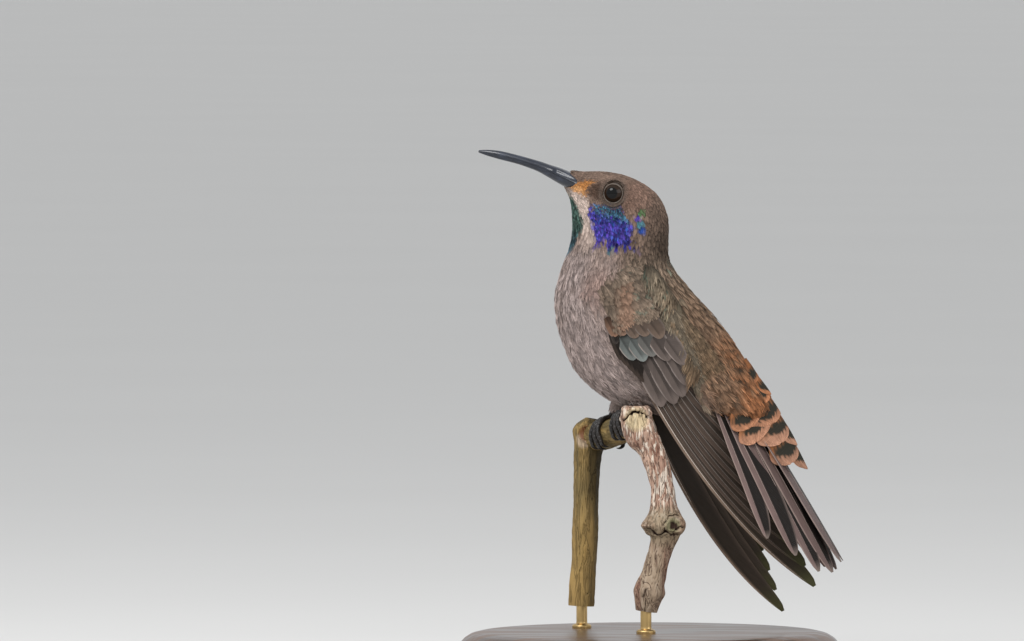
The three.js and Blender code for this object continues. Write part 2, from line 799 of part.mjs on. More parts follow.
const bodyMargin = joined( [ bodySolid( gap ), upperTailCoverts(), lowerTailCoverts() ] );
const tailMargin = joined( sideNames.map( ( name ) => tailHalf( name, gap ) ) );
const frontStemSolid = solidOf( tubeLoft( frontStem, stemRings.front, twigSides ) );

for ( const name of sideNames ) {

	addPart( bird, `eye_${ name }`, eyeBall( sides[ name ], 0 ), finishes.eye );
	addPart( bird, `tail_${ name }`, tailHalf( name, 0 ), finishes.flightFeather );
	addPart( bird, `foot_${ name }`, foot( name, 0 ), finishes.foot );
	const flight = largest( subtractAll( primaries( name, 0 ), [ bodyMargin, tailMargin ] ) );
	const coverts = largest( subtractAll( wingCoverts( name ), [ bodyMargin, primaries( name, gap ), tailMargin ] ) );
	addPart( bird, `wing_${ name }_primaries`, flight, finishes.flightFeather );
	addPart( bird, `wing_${ name }_coverts`, coverts, finishes.plumage );

}

const rodMargins = Object.values( rods ).map( ( place ) => rod( place, gap ) );
const stemMargins = [
	solidOf( tubeLoft( frontStem, stemRings.front, twigSides, gap ) ),
	solidOf( tubeLoft( rearStem, stemRings.rear, twigSides, gap ) ),
];
const crossSolid = largest( subtractAll( solidOf( tubeLoft( crossPiece, stemRings.cross, twigSides ) ), stemMargins ) );
addPart( perch, 'perch_front_stem', frontStemSolid.subtract( rodMargins[ 0 ] ), finishes.bark );
addPart( perch, 'perch_cross_piece', crossSolid, finishes.bark );
addPart( perch, 'perch_rear_stem',
	solidOf( tubeLoft( rearStem, stemRings.rear, twigSides ) ).subtract( rodMargins[ 1 ] ), finishes.bark );

addPart( stand, 'stand_base', subtractAll( standBase(), rodMargins ), finishes.wood );
for ( const [ name, place ] of Object.entries( rods ) ) {

	addPart( stand, `stand_rod_${ name }`, rod( place, 0 ), finishes.brass );

}

export default group;
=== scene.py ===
"""Looks of a life-size brown violetear hummingbird that grips a cut twig on a small display stand.

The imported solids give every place. Shapes are worked out in millimetres and made in metres.
+Z is up, the bird faces -X and its left side faces -Y.
"""

import json
from functools import cache
from math import ceil, cos, hypot, pi, radians, sin
from types import SimpleNamespace

import bpy
import numpy as np
from bpy.props import FloatProperty, FloatVectorProperty, IntProperty, PointerProperty
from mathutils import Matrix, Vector, noise
from mathutils.bvhtree import BVHTree
from mathutils.kdtree import KDTree

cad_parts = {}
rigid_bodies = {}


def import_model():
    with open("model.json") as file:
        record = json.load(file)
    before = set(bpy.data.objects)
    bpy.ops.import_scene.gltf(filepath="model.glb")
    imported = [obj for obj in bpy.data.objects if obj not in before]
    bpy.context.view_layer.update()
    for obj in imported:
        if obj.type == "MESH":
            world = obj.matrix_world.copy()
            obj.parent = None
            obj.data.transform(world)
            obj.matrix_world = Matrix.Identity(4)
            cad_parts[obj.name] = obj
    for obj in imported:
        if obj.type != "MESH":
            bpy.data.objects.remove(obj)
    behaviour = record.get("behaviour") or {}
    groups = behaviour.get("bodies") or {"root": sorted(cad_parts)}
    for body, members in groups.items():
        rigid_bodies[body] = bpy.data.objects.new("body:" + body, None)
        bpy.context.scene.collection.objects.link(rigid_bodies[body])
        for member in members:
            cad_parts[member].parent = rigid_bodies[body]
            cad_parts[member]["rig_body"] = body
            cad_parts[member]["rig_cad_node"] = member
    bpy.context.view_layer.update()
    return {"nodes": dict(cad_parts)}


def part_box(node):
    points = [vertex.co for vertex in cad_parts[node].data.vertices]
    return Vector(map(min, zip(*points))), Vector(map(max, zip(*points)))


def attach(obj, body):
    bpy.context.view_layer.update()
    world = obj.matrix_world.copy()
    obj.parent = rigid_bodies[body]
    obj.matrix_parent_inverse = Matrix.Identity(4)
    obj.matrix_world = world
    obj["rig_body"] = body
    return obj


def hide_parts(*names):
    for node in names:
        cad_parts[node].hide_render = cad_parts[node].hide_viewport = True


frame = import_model()

bl_info = {
    "name": "Hummingbird on a Twig",
    "version": (1, 0, 0),
    "blender": (4, 5, 0),
    "location": "3D View > Sidebar > Hummingbird",
    "description": "Plumage, wings, tail, bill, eyes, feet, twig and stand of a hummingbird model",
    "category": "Object",
}

MM = 0.001
BODY = "root"
SIDES = {"left": -1, "right": 1}
FLESH_NODES = ("head", "neck", "trunk", "rump", "wing_left_coverts", "wing_right_coverts")
TAIL_UP = np.array([0.863, 0, 0.505])
TAIL_DOWN = np.array([0.505, 0, -0.863])
PLUME_LIMIT = 199000
LARGE_FEATHERS = [f"wing_{name}_primaries" for name in SIDES] + [f"tail_{name}" for name in SIDES]
# The plane past which the tail's coverts are large feathers only: a place on it and the way it faces.
SKIN_END = (0.0258, 0, 0.0505)
SKIN_END_WAY = (0.53, 0, -0.85)

# The middle of the body from the bill's root to the tail, which the plumage follows (x, z).
MIDLINE = [
    (-17.4, 98.8), (-11.5, 97.2), (-7.6, 93.6), (-6.2, 88.6), (-6.7, 83.2), (-6.3, 77.0),
    (-3.6, 70.0), (1.4, 63.0), (8.0, 56.0), (15.0, 48.0), (21.5, 37.0),
]

# Outlines of the face's markings, seen from the side (x, z).
EAR_PATCH = [
    (-11.6, 94.1), (-9.4, 93.4), (-7.2, 93.6), (-5.0, 93.0), (-4.5, 91.3), (-2.8, 89.4), (-3.0, 88.0),
    (-3.4, 86.4), (-1.0, 84.8), (-4.5, 85.7), (-7.2, 85.2), (-8.4, 86.6), (-10.3, 86.0), (-11.0, 89.2),
    (-11.8, 91.4),
]
MALAR_STRIPE = [
    (-16.2, 96.9), (-14.6, 96.6), (-12.2, 94.7), (-11.4, 92.0), (-10.4, 88.7), (-10.0, 85.0),
    (-13.4, 84.6), (-13.5, 89.2), (-14.6, 92.6), (-15.9, 95.4),
]
BILL_ROOT = [(-18.6, 100.7), (-17.3, 100.0), (-14.3, 98.1), (-15.2, 96.9), (-16.8, 96.4), (-18.6, 96.0)]
LORES = [
    (-15.9, 97.4), (-14.0, 97.9), (-11.9, 98.3), (-10.2, 98.2), (-12.3, 96.8), (-12.2, 95.0), (-15.6, 96.4),
]
LORE_STRIP = [(-15.9, 97.3), (-15.6, 96.5), (-13, 95.2), (-12.1, 95.3), (-13.3, 96.8)]
BEFORE_EYE = [(-12.2, 96.9), (-11.0, 97.5), (-9.4, 97.8), (-9.2, 94.6), (-11.5, 95.0)]
CHIN = [(-17.5, 97.4), (-15.4, 96.8), (-15.4, 95.0), (-16.6, 94.6)]
EAR_FOLD = [(-7.6, 87.9), (-4.6, 88.1), (-1.2, 84.9), (-4.2, 86.9)]
GORGET_EDGE = {
    "x": (-15.2, -14.0, -12.9, -13.3, -14.2, -15.6, -16.6),
    "z": (84.7, 87, 89.3, 91, 92.9, 95.4, 96.5),
}
BEND_WASH = [(-5.9, 78.0), (-3.4, 79.0), (-2.8, 73.0), (-2.6, 67.5), (-5.4, 67.5), (-6.0, 72.0)]

EYE = {"x": -6.8, "z": 95.75, "radius": 2.35, "ring": 2.85}


# ---- Numbers and curves ----------------------------------------------------------------------


def ramp(value, low, high):
    """0 up to low, 1 from high on and a smooth climb between them."""
    share = np.clip((np.asarray(value, float) - low) / (high - low), 0, 1)
    return share * share * (3 - 2 * share)


def hump(value, width):
    """1 where the value is 0, falling smoothly to 0 on both sides."""
    return np.exp(-(value / width) ** 2)


def rounded_end(along, start, span):
    """1 up to start, then the quarter of an ellipse down to 0 over span."""
    return np.sqrt(np.clip(1 - (np.clip(along - start, 0, 1) / span) ** 2, 0, 1))


def lerp(low, high, share):
    return low + (high - low) * share


def unit(vectors):
    return vectors / np.maximum(np.linalg.norm(vectors, axis=-1, keepdims=True), 1e-9)


def smooth_rows(rows):
    """Smooth curve through rows of numbers. It takes shares of its length from 0 to 1."""
    table = np.array(rows, float)
    last = len(table) - 1

    def at(share):
        place = np.clip(np.asarray(share, float), 0, 1) * last
        i = np.minimum(place.astype(int), last - 1)
        w = (place - i)[..., None]
        here, after = table[i], table[i + 1]
        before, beyond = table[np.maximum(i - 1, 0)], table[np.minimum(i + 2, last)]
        slope0, slope1, rise = (after - before) / 2, (beyond - here) / 2, after - here
        return here + w * (slope0 + w * (3 * rise - 2 * slope0 - slope1 + w * (slope0 + slope1 - 2 * rise)))

    return at


def inside(points, outline, softness):
    """1 inside a closed outline and 0 outside it, with an edge that fades over softness on each side."""
    corners = np.array(outline, float)
    following = np.roll(corners, -1, axis=0)
    nearest = np.full(len(points), 1e9)
    within = np.zeros(len(points), bool)
    for (x0, z0), (x1, z1) in zip(corners, following):
        edge = np.array([x1 - x0, z1 - z0])
        share = np.clip(((points - (x0, z0)) @ edge) / (edge @ edge), 0, 1)
        nearest = np.minimum(nearest, np.linalg.norm(points - (x0, z0) - share[:, None] * edge, axis=1))
        crosses = (z0 > points[:, 1]) != (z1 > points[:, 1])
        level = (x1 - x0) * (points[:, 1] - z0) / (z1 - z0 if z1 != z0 else 1e-9) + x0
        within ^= crosses & (points[:, 0] < level)
    return ramp(np.where(within, nearest, -nearest), -softness, softness)


def spot(points, centre, radius, softness=0.3):
    away = np.linalg.norm(points - centre, axis=1)
    return 1 - ramp(away, radius - softness, radius + softness)


def waviness(points, size, seed=0):
    """Smooth noise, about -1 to 1, at each point."""
    shift = Vector((seed * 7.3, seed * 3.1, seed * 5.7))
    return np.array([noise.noise(Vector(p) / size + shift) for p in points])


# ---- Meshes ----------------------------------------------------------------------------------


def activate(piece):
    bpy.ops.object.select_all(action="DESELECT")
    piece.select_set(True)
    bpy.context.view_layer.objects.active = piece


def places(piece):
    """The corners of a mesh in millimetres."""
    corners = np.zeros(len(piece.data.vertices) * 3)
    piece.data.vertices.foreach_get("co", corners)
    return corners.reshape(-1, 3) / MM


def move_to(piece, corners):
    piece.data.vertices.foreach_set("co", (np.asarray(corners) * MM).ravel())
    piece.data.update()


def close_up(piece):
    """Joins corners that meet and turns every face outwards."""
    activate(piece)
    bpy.ops.object.mode_set(mode="EDIT")
    bpy.ops.mesh.select_all(action="SELECT")
    bpy.ops.mesh.remove_doubles(threshold=2e-7)
    bpy.ops.mesh.normals_make_consistent(inside=False)
    bpy.ops.object.mode_set(mode="OBJECT")


def shaped_grid(name, columns, rows, place):
    """A grid whose corners go to place(across, along), both 0 to 1, with its seams and poles closed."""
    bpy.ops.object.select_all(action="DESELECT")
    bpy.ops.mesh.primitive_grid_add(x_subdivisions=columns, y_subdivisions=rows, size=1)
    piece = bpy.context.object
    piece.name = piece.data.name = name
    piece.data.uv_layers[0].name = "Surface"
    corners = places(piece) * MM + 0.5
    move_to(piece, place(corners[:, 0], corners[:, 1]))
    close_up(piece)
    return piece


def apply_modifier(piece, kind, **values):
    modifier = piece.modifiers.new(kind.title(), kind)
    for key, value in values.items():
        setattr(modifier, key, value)
    activate(piece)
    bpy.ops.object.modifier_apply(modifier=modifier.name)


def join(name, pieces):
    activate(pieces[0])
    for piece in pieces:
        piece.select_set(True)
    bpy.ops.object.join()
    joined = bpy.context.object
    joined.name = joined.data.name = name
    return joined


def paint(piece, name, colours):
    """Stores one colour for each corner."""
    values = np.ones((len(piece.data.vertices), 4))
    values[:, : colours.shape[1]] = colours
    layer = piece.data.attributes.new(name, "FLOAT_COLOR", "POINT")
    layer.data.foreach_set("color", values.ravel())


def store_value(piece, name, values):
    """Stores one number for each corner."""
    layer = piece.data.attributes.new(name, "FLOAT", "POINT")
    layer.data.foreach_set("value", np.asarray(values, float))


def finish(piece, material, nodes=(), angle=50):
    """Gives a piece its material and its place in the frame."""
    piece.data.materials.clear()
    piece.data.materials.append(material)
    activate(piece)
    bpy.ops.object.shade_smooth_by_angle(angle=radians(angle))
    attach(piece, BODY)
    if nodes:
        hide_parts(*nodes)
    return piece


def closing_rows(v, rows):
    """True for the first and the last of a grid's rows, which shrink to a point."""
    return (v < 0.5 / rows) | (v > 1 - 0.5 / rows)


def tube(name, path, rings, around, relief=None, start=(0, 1, 0)):
    """A closed round tube along path(share) = x, y, z, radius.

    relief(angle, share, points) adds to the radius."""
    shares = np.linspace(0, 1, rings + 1)
    rows = path(shares)
    centres, radii = rows[:, :3], rows[:, 3]
    along = unit(np.gradient(centres, axis=0))
    across = np.zeros_like(centres)
    side = np.array(start, float)
    for i in range(rings + 1):
        side = side - along[i] * (side @ along[i])
        side = side / np.linalg.norm(side)
        across[i] = side
    up = np.cross(along, across)

    def place(u, v):
        i = np.clip(np.rint(v * (rings + 2)).astype(int) - 1, 0, rings)
        ends = closing_rows(v, rings + 2)
        angle = u * 2 * pi
        spokes = across[i] * np.cos(angle)[:, None] + up[i] * np.sin(angle)[:, None]
        radius = radii[i]
        if relief is not None:
            radius = radius + relief(angle, shares[i], centres[i] + spokes * radii[i][:, None])
        return centres[i] + spokes * np.where(ends, 0, radius)[:, None]

    piece = shaped_grid(name, around, rings + 2, place)
    if relief is not None:
        corners = places(piece)
        raised = np.zeros(len(corners))
        for first in range(0, len(corners), 4000):
            some = corners[first:first + 4000]
            away = np.linalg.norm(some[:, None] - centres[None], axis=2)
            raised[first:first + 4000] = (away - radii[None])[np.arange(len(some)), away.argmin(axis=1)]
        store_value(piece, "Relief", raised)
    return piece


# ---- The body's own map ----------------------------------------------------------------------

midline_at = smooth_rows([(x, 0, z) for x, z in MIDLINE])
MIDLINE_SHARES = np.linspace(0, 1, 160)
MIDLINE_POINTS = midline_at(MIDLINE_SHARES)
MIDLINE_TANGENTS = unit(np.gradient(MIDLINE_POINTS, axis=0))


def body_map(points):
    """How far along the body each point lies, 0 at the bill to 1 at the tail, and which way that runs."""
    away = ((points[:, None, :] - MIDLINE_POINTS[None]) ** 2).sum(axis=2)
    weight = np.exp(-(away - away.min(axis=1, keepdims=True)) / 14)
    weight /= weight.sum(axis=1, keepdims=True)
    return weight @ MIDLINE_SHARES, unit(weight @ MIDLINE_TANGENTS)


def back_share(points, share, tangent):
    """1 on the middle of the back, 0 on the flanks and -1 on the middle of the belly."""
    spoke = unit(points - midline_at(share))
    return (spoke * np.cross(tangent, (0, 1, 0))).sum(axis=1)


def unwrap(points):
    """Lays the skin flat: once round the body across, and from bill to tail along."""
    share, tangent = body_map(points)
    spoke = points - midline_at(share)
    back = np.cross(tangent, (0, 1, 0))
    angle = np.arctan2(spoke[:, 1], (spoke * back).sum(axis=1))
    return np.stack([0.5 + angle / (2 * pi) * 0.96, 0.03 + 0.94 * share], axis=1)


# ---- The wing's own map ----------------------------------------------------------------------
# s runs from the wing's bend to its tip, t from its front edge to its back edge, lift outwards.

WINGS = {
    "left": {"x": -8.1, "z": 75.4, "fall": 54.8, "bow": 1.0},
    "right": {"x": -7.6, "z": 74.6, "fall": 61.6, "bow": 1.3},
}
WING_LENGTH = 71.3
PRIMARY_COUNT = 10
ARM_OUTLINE = np.array([
    (-3.2, 3.0, 4.6), (-2.2, -0.3, 8.2), (2.0, -1.3, 10.0), (8.0, -2.9, 10.0),
    (14.0, -3.8, 9.0), (20.0, -4.2, 7.6), (24.0, -3.6, 5.6), (26.4, -1.2, 3.2),
])


def wing_seat(s, t):
    """How far from the middle plane the wing's flat lies."""
    tuck = 1.1 * (1 - ramp(s, -2, 9))
    flank = lerp(10.9, 5.2, ramp(s, 16, 80))
    tilt = lerp(0.1, 0.48, ramp(s, 14, 36))
    return flank - tuck - tilt * (t + 5)


def wing_place(name, s, t, lift):
    wing = WINGS[name]
    fall = radians(wing["fall"])
    x = wing["x"] + s * cos(fall) + t * sin(fall)
    z = wing["z"] - s * sin(fall) + t * cos(fall)
    return np.stack([x, SIDES[name] * (wing_seat(s, t) + lift), z], axis=-1)


def wing_spot(name, points):
    """The s, t and lift of points."""
    wing = WINGS[name]
    fall = radians(wing["fall"])
    x, z = points[..., 0] - wing["x"], points[..., 2] - wing["z"]
    s = x * cos(fall) - z * sin(fall)
    t = x * sin(fall) + z * cos(fall)
    return s, t, SIDES[name] * points[..., 1] - wing_seat(s, t)


def arm_edges(s):
    """The t of the feathered arm's front edge and of its back edge."""
    return [np.interp(s, ARM_OUTLINE[:, 0], ARM_OUTLINE[:, k]) for k in (1, 2)]


def arm_share(s, t):
    """0 at the arm's front edge and 1 at its back edge."""
    front, back = arm_edges(s)
    return (t - front) / (back - front)


def arm_lift(s, t):
    """The height of the feathered arm over the wing's flat."""
    ends = np.sin(pi * np.clip((s + 4.6) / 33, 0.05, 0.95)) ** 0.6
    dome = np.sin(pi * np.clip(arm_share(s, t), 0.06, 0.94)) ** 0.5
    return 0.4 + 2.1 * ends * dome


def on_arm(name, points):
    """1 on the outside of the feathered arm and 0 off it."""
    s, t, lift = wing_spot(name, points)
    share = arm_share(s, t)
    along = ramp(s, -4, -2.6) * (1 - ramp(s, 26, 27))
    return along * ramp(share, -0.12, 0.0) * (1 - ramp(share, 0.98, 1.08)) * (lift > -1.2)


# ---- Markings of the plumage -----------------------------------------------------------------


def eye_distance(points):
    away = np.hypot(points[:, 0] - EYE["x"], points[:, 2] - EYE["z"])
    return np.where(np.abs(points[:, 1]) > 2.5, away, 99)


class Coat:
    """How the plumage looks at points, laid on in layers.

    It has the colour, the colour of the tips, how far that reaches into the feather, how dark the
    feather's root is in painted shade of the feathers over it, and how much it glitters."""

    def __init__(self, points, seed):
        self.count = len(points)
        self.rng = np.random.default_rng(seed)
        self.share, tangent = body_map(points)
        self.upper = back_share(points, self.share, tangent)
        self.side_view = points[:, [0, 2]] + self.rng.normal(0, 0.14, (self.count, 2))
        self.down_tail = points @ TAIL_DOWN
        self.patchy = waviness(points, 2.6, 1)[:, None]
        self.fine = self.rng.normal(0, 1, (self.count, 1))
        self.colour = np.tile(settings("plumage").head_brown, (self.count, 1))
        self.tips = self.colour * 1.5
        self.reach = np.full(self.count, 0.25)
        self.root = np.full(self.count, 0.42)
        self.glitter = np.zeros(self.count)

    def some(self, portion):
        """True for a random portion of the points."""
        return self.rng.random(self.count) < portion

    def lay(self, mask, tone, tip=None, tip_reach=None, root_shade=None, shine=0):
        mask = np.broadcast_to(mask, (self.count,)).astype(float)
        tip = tone * 1.35 if tip is None else tip
        self.colour = lerp(self.colour, tone, mask[:, None])
        self.tips = lerp(self.tips, tip, mask[:, None])
        if tip_reach is not None:
            self.reach = lerp(self.reach, tip_reach, mask)
        # root_shade is painted shade: a feather's root lies under the feathers over it.
        if root_shade is not None:
            self.root = lerp(self.root, root_shade, mask)
        self.glitter = lerp(self.glitter, shine, mask)


def mark_body(coat, plumage, points):
    """Grey breast and belly, brown back, rufous rump."""
    share, upper, down_tail = coat.share, coat.upper, coat.down_tail
    grey = plumage.breast_grey
    trunk = ramp(share, 0.3, 0.42)
    coat.lay(trunk * (1 - ramp(upper, -0.1, 0.5)), grey, tip_reach=0.35, root_shade=0.5)
    under = ramp(share, 0.62, 0.85) * (1 - ramp(upper, -0.1, 0.5))
    coat.lay(under, plumage.belly_grey, root_shade=0.5)
    front = trunk * (1 - ramp(upper, -0.75, -0.3))
    coat.lay(front * 0.4, grey * (1.1, 1.22, 1.36), root_shade=0.5)
    scallop = front * coat.some(0.3) * (1 - ramp(share, 0.5, 0.62))
    coat.lay(scallop * 0.75, grey * 0.42, grey * 1.2, 0.2, 0.6)
    blush = trunk * spot(coat.side_view, (-9.0, 77.5), 3.5, 2.0) * (1 - ramp(upper, 0.1, 0.4))
    coat.lay(blush * 0.5, grey * (0.98, 0.8, 0.76), root_shade=0.5)
    vent = (1 - ramp(upper, -0.2, 0.4)) * ramp(down_tail, -47, -38)
    coat.lay(vent, plumage.vent_buff, root_shade=0.7)
    mantle = trunk * ramp(upper, 0.0, 0.5)
    lower = ramp(down_tail, -72, -58)[:, None]
    brown = plumage.mantle_brown * lerp(np.ones(3), np.array([0.95, 0.82, 0.72]), lower)
    coat.lay(mantle, brown * 0.85, brown * 2.2, 0.28, 0.45, 0.05)
    glints = mantle * coat.some(0.07) * ramp(down_tail, -76, -72)
    glints = glints * (1 - ramp(down_tail, -66, -60))
    coat.lay(glints * 0.5, plumage.mantle_glint, shine=0.35)
    rump = ramp(upper, -0.2, 0.3) * ramp(down_tail, -56, -49)
    rump = rump * (1 - 0.8 * ramp(np.abs(points[:, 1]), 5.5, 7.5))
    coat.lay(rump * 0.9, plumage.rump_brown, plumage.rump_rufous, 0.45, 0.6)
    rufous = rump * ramp(down_tail + 5.0 * coat.patchy[:, 0], -46, -36) * ~coat.some(0.14)
    warm = plumage.rump_rufous * lerp(0.45, 1.2, coat.rng.random((coat.count, 1)))
    coat.lay(rufous, warm, warm * 1.4, 0.4, 0.4)
    spotted = rump * coat.some(0.16) * ramp(down_tail, -56, -48)
    coat.lay(spotted * 0.85, plumage.nape_dark, plumage.rump_rufous, 0.25, 0.6)


def mark_head_top(coat, plumage):
    """Dark nape, brown crown and cheeks."""
    x, z = coat.side_view.T
    brown, nape_dark = plumage.head_brown, plumage.nape_dark
    nape = ramp(x, -1.8, 2.6) * ramp(z, 81, 86) * (1 - ramp(z, 91, 97))
    coat.lay(nape, nape_dark, nape_dark * 1.9, 0.25, 0.6)
    crown = ramp(coat.upper, 0.55, 0.9) * (1 - ramp(coat.share, 0.25, 0.4))
    coat.lay(crown * 0.8, brown * 0.8, brown * 1.6, 0.22, 0.5)
    coat.lay(spot(coat.side_view, (-6.8, 93.0), 1.9, 0.9) * 0.7, brown * 0.55)
    coat.lay(spot(coat.side_view, (-2.6, 95.0), 3.2, 1.5) * 0.7, brown * (1.12, 1.0, 0.98))


def mark_arm(coat, plumage, points, name):
    """Dark lesser coverts with a rufous bend and a few glints."""
    arm = on_arm(name, points)
    s, t, _ = wing_spot(name, points)
    dark, rufous = plumage.covert_dark, plumage.covert_rufous
    coat.lay(arm, dark, dark * 2.2, 0.3, 0.65, 0.1)
    washed = arm * inside(coat.side_view, BEND_WASH, 0.8)
    coat.lay(washed * 0.6, rufous * 0.9, rufous * 1.3, 0.35, 0.6)
    shiny = arm * coat.some(0.12) * ramp(t, 1.5, 4) * (1 - ramp(s, 5, 9))
    coat.lay(shiny * 0.45, plumage.mantle_glint, shine=0.45)


def mark_throat(coat, plumage):
    """Pale malar stripe, glittering throat and pale chin."""
    x, z = coat.side_view.T
    malar = inside(coat.side_view, MALAR_STRIPE, 0.55)
    coat.lay(malar * lerp(0.45, 1, ramp(z, 84.6, 91)), plumage.malar_buff, root_shade=0.75)
    edge = np.interp(z, GORGET_EDGE["z"], GORGET_EDGE["x"])
    throat = ramp(edge - x, -0.3, 0.35) * ramp(z, 83.6, 85) * (1 - ramp(z, 95, 96.6))
    gloss = coat.rng.random((coat.count, 1)) ** 2.2
    gorget = lerp(plumage.gorget_green, plumage.gorget_blue, ramp(88 - z, -1.5, 2.5)[:, None])
    coat.lay(throat, gorget * lerp(0.35, 1.7, gloss), gorget * lerp(0.6, 3.2, gloss), 0.4, 0.5, 0.62)
    coat.lay(inside(coat.side_view, CHIN, 0.4) * 0.6, plumage.malar_buff * 0.6)


def mark_ear(coat, plumage):
    """Violet ear patch with a teal upper edge, a fold below it and loose spots behind it."""
    x, z = coat.side_view.T
    rng, one_each = coat.rng, (coat.count, 1)
    ear = inside(coat.side_view, EAR_PATCH, 0.28)
    deep = lerp(0.3, 1.3, rng.random(one_each) ** 1.2)
    violet = lerp(plumage.ear_violet, plumage.ear_blue, rng.random(one_each) ** 1.6)
    patch = ear * ~coat.some(0.02 + 0.4 * ramp(z + 0.2 * (x + 10), 91.4, 93.6))
    coat.lay(ear * lerp(0.8, 0.3, ramp(z, 91, 93)), plumage.ear_violet * 0.3, shine=0.2)
    coat.lay(patch, violet * deep, violet * deep * 1.7, 0.3, 0.35, 0.6)
    upper_ear = patch * ramp(z + 0.3 * (x + 7), 89.4, 91.9) * ramp(x, -12.0, -10.2)
    teal_edge = upper_ear * coat.some(0.2 + 0.75 * upper_ear)
    coat.lay(teal_edge * 0.85, plumage.ear_teal * deep, plumage.ear_teal * deep * 2.0, shine=0.5)
    coat.lay(inside(coat.side_view, EAR_FOLD, 0.25) * 0.6, plumage.ear_violet * 0.25, shine=0.3)
    for centre, size, tint in (
        ((-1.9, 90.7), 0.6, plumage.ear_violet), ((-1.1, 91.7), 0.6, plumage.glint_green),
        ((-1.4, 89.5), 0.7, plumage.ear_teal), ((-1.0, 88.4), 0.65, plumage.ear_blue),
        ((-7.2, 84.9), 0.5, plumage.ear_teal),
    ):
        coat.lay(spot(coat.side_view, centre, size, 0.25), tint, shine=0.55)


def mark_face(coat, plumage, points):
    """Orange lores, the dark place before the eye and the grey ring round it."""
    coat.lay(inside(coat.side_view, LORES, 0.25), plumage.lore_orange, root_shade=0.8)
    strip = inside(coat.side_view, LORE_STRIP, 0.2)
    coat.lay(strip * 0.8, plumage.lore_orange * (1.45, 1.8, 2.6), root_shade=0.9)
    dark = inside(coat.side_view, BEFORE_EYE, 0.4)
    coat.lay(dark * 0.85, plumage.head_brown * (0.36, 0.3, 0.26))
    coat.lay((1 - ramp(eye_distance(points), 2.7, 3.3)) * 0.45, plumage.orbit_grey)


def markings(points, seed=3):
    """The coat's colour, tips, reach, root and glitter at each point."""
    plumage = settings("plumage")
    coat = Coat(points, seed)
    mark_body(coat, plumage, points)
    mark_head_top(coat, plumage)
    for name in SIDES:
        mark_arm(coat, plumage, points, name)
    mark_throat(coat, plumage)
    mark_ear(coat, plumage)
    mark_face(coat, plumage, points)
    shade = 1 + 0.16 * coat.patchy + 0.09 * coat.fine
    return coat.colour * shade, coat.tips * shade, coat.reach, coat.root, coat.glitter


# ---- Feather patterns, modelled once ---------------------------------------------------------


def take_pattern(piece):
    """The corners and faces of a piece as arrays, after which the piece is removed."""
    corners = places(piece)
    faces = [face.vertices for face in piece.data.polygons]
    layer = piece.data.uv_layers.active
    uvs = None
    if layer is not None:
        uvs = np.zeros(len(piece.data.loops) * 2)
        layer.data.foreach_get("uv", uvs)
        uvs = uvs.reshape(-1, 2)
    bpy.data.objects.remove(piece)
    return corners, faces, uvs


def one_barb():
    """A flat pointed blade along X, three-sided, with two extra rings."""
    bpy.ops.object.select_all(action="DESELECT")
    bpy.ops.mesh.primitive_cone_add(
        vertices=3, radius1=MM, radius2=0, depth=MM, location=(0.5 * MM, 0, 0), rotation=(0, pi / 2, 0)
    )
    barb = bpy.context.object
    bpy.ops.object.transform_apply()
    bpy.ops.object.mode_set(mode="EDIT")
    for share in (0.4, 0.82):
        bpy.ops.mesh.select_all(action="SELECT")
        bpy.ops.mesh.bisect(plane_co=(share * MM, 0, 0), plane_no=(1, 0, 0))
    bpy.ops.object.mode_set(mode="OBJECT")
    corners = places(barb)
    fullness = np.interp(corners[:, 0], (0, 0.4, 0.82, 1), (0.55, 1, 0.7, 0))
    around = np.arctan2(corners[:, 2], corners[:, 1])
    corners[:, 1] = np.sin(around) * fullness
    corners[:, 2] = np.cos(around) * fullness
    move_to(barb, corners)
    close_up(barb)
    return take_pattern(barb)[:2]


def plume_pattern(barbs, width, spread):
    """A feather of several barbs that part from one root: a runs along it, b across it and h up."""
    corners, faces = one_barb()
    rows, all_faces, owner = [], [], []
    for k in range(barbs):
        c = 2 * k / (barbs - 1) - 1
        x, y, z = corners.T
        a = 0.1 * abs(c) + (1 - 0.24 * c * c - 0.1 * abs(c)) * x
        b = c * spread * x ** 0.6 + y * width / 0.866
        h = z - 0.7 * abs(c)
        all_faces += [tuple(i + k * len(corners) for i in face) for face in faces]
        rows.append(np.stack([a, b, h], axis=1))
        owner += [k] * len(corners)
    return {"corners": np.concatenate(rows), "faces": all_faces, "barb": np.array(owner), "barbs": barbs}


def quill_pattern(columns, rows, shaft_share):
    """A thin vane with a raised shaft: a runs along it from 0 to 1, b across it from -1 to 1, h up."""

    def flat(u, v):
        return np.stack([v, 2 * u - 1, np.zeros_like(u)], axis=1)

    def round_shaft(u, v):
        angle = 2 * pi * u
        thick = lerp(1, 0.35, v) * np.where((v == 0) | (v == 1), 0, 1)
        b = np.cos(angle) * shaft_share * thick
        return np.stack([v * 0.985, b, 0.2 + 1.3 * np.sin(angle) * thick], axis=1)

    vane = shaped_grid("vane", columns, rows, flat)
    apply_modifier(vane, "SOLIDIFY", thickness=MM, offset=0)
    vane_count = len(vane.data.vertices)
    shaft = shaped_grid("shaft", 6, rows, round_shaft)
    whole = join("quill", [vane, shaft])
    is_shaft = np.arange(len(whole.data.vertices)) >= vane_count
    corners, faces, uvs = take_pattern(whole)
    return {"corners": corners, "faces": faces, "uvs": uvs, "shaft": is_shaft}


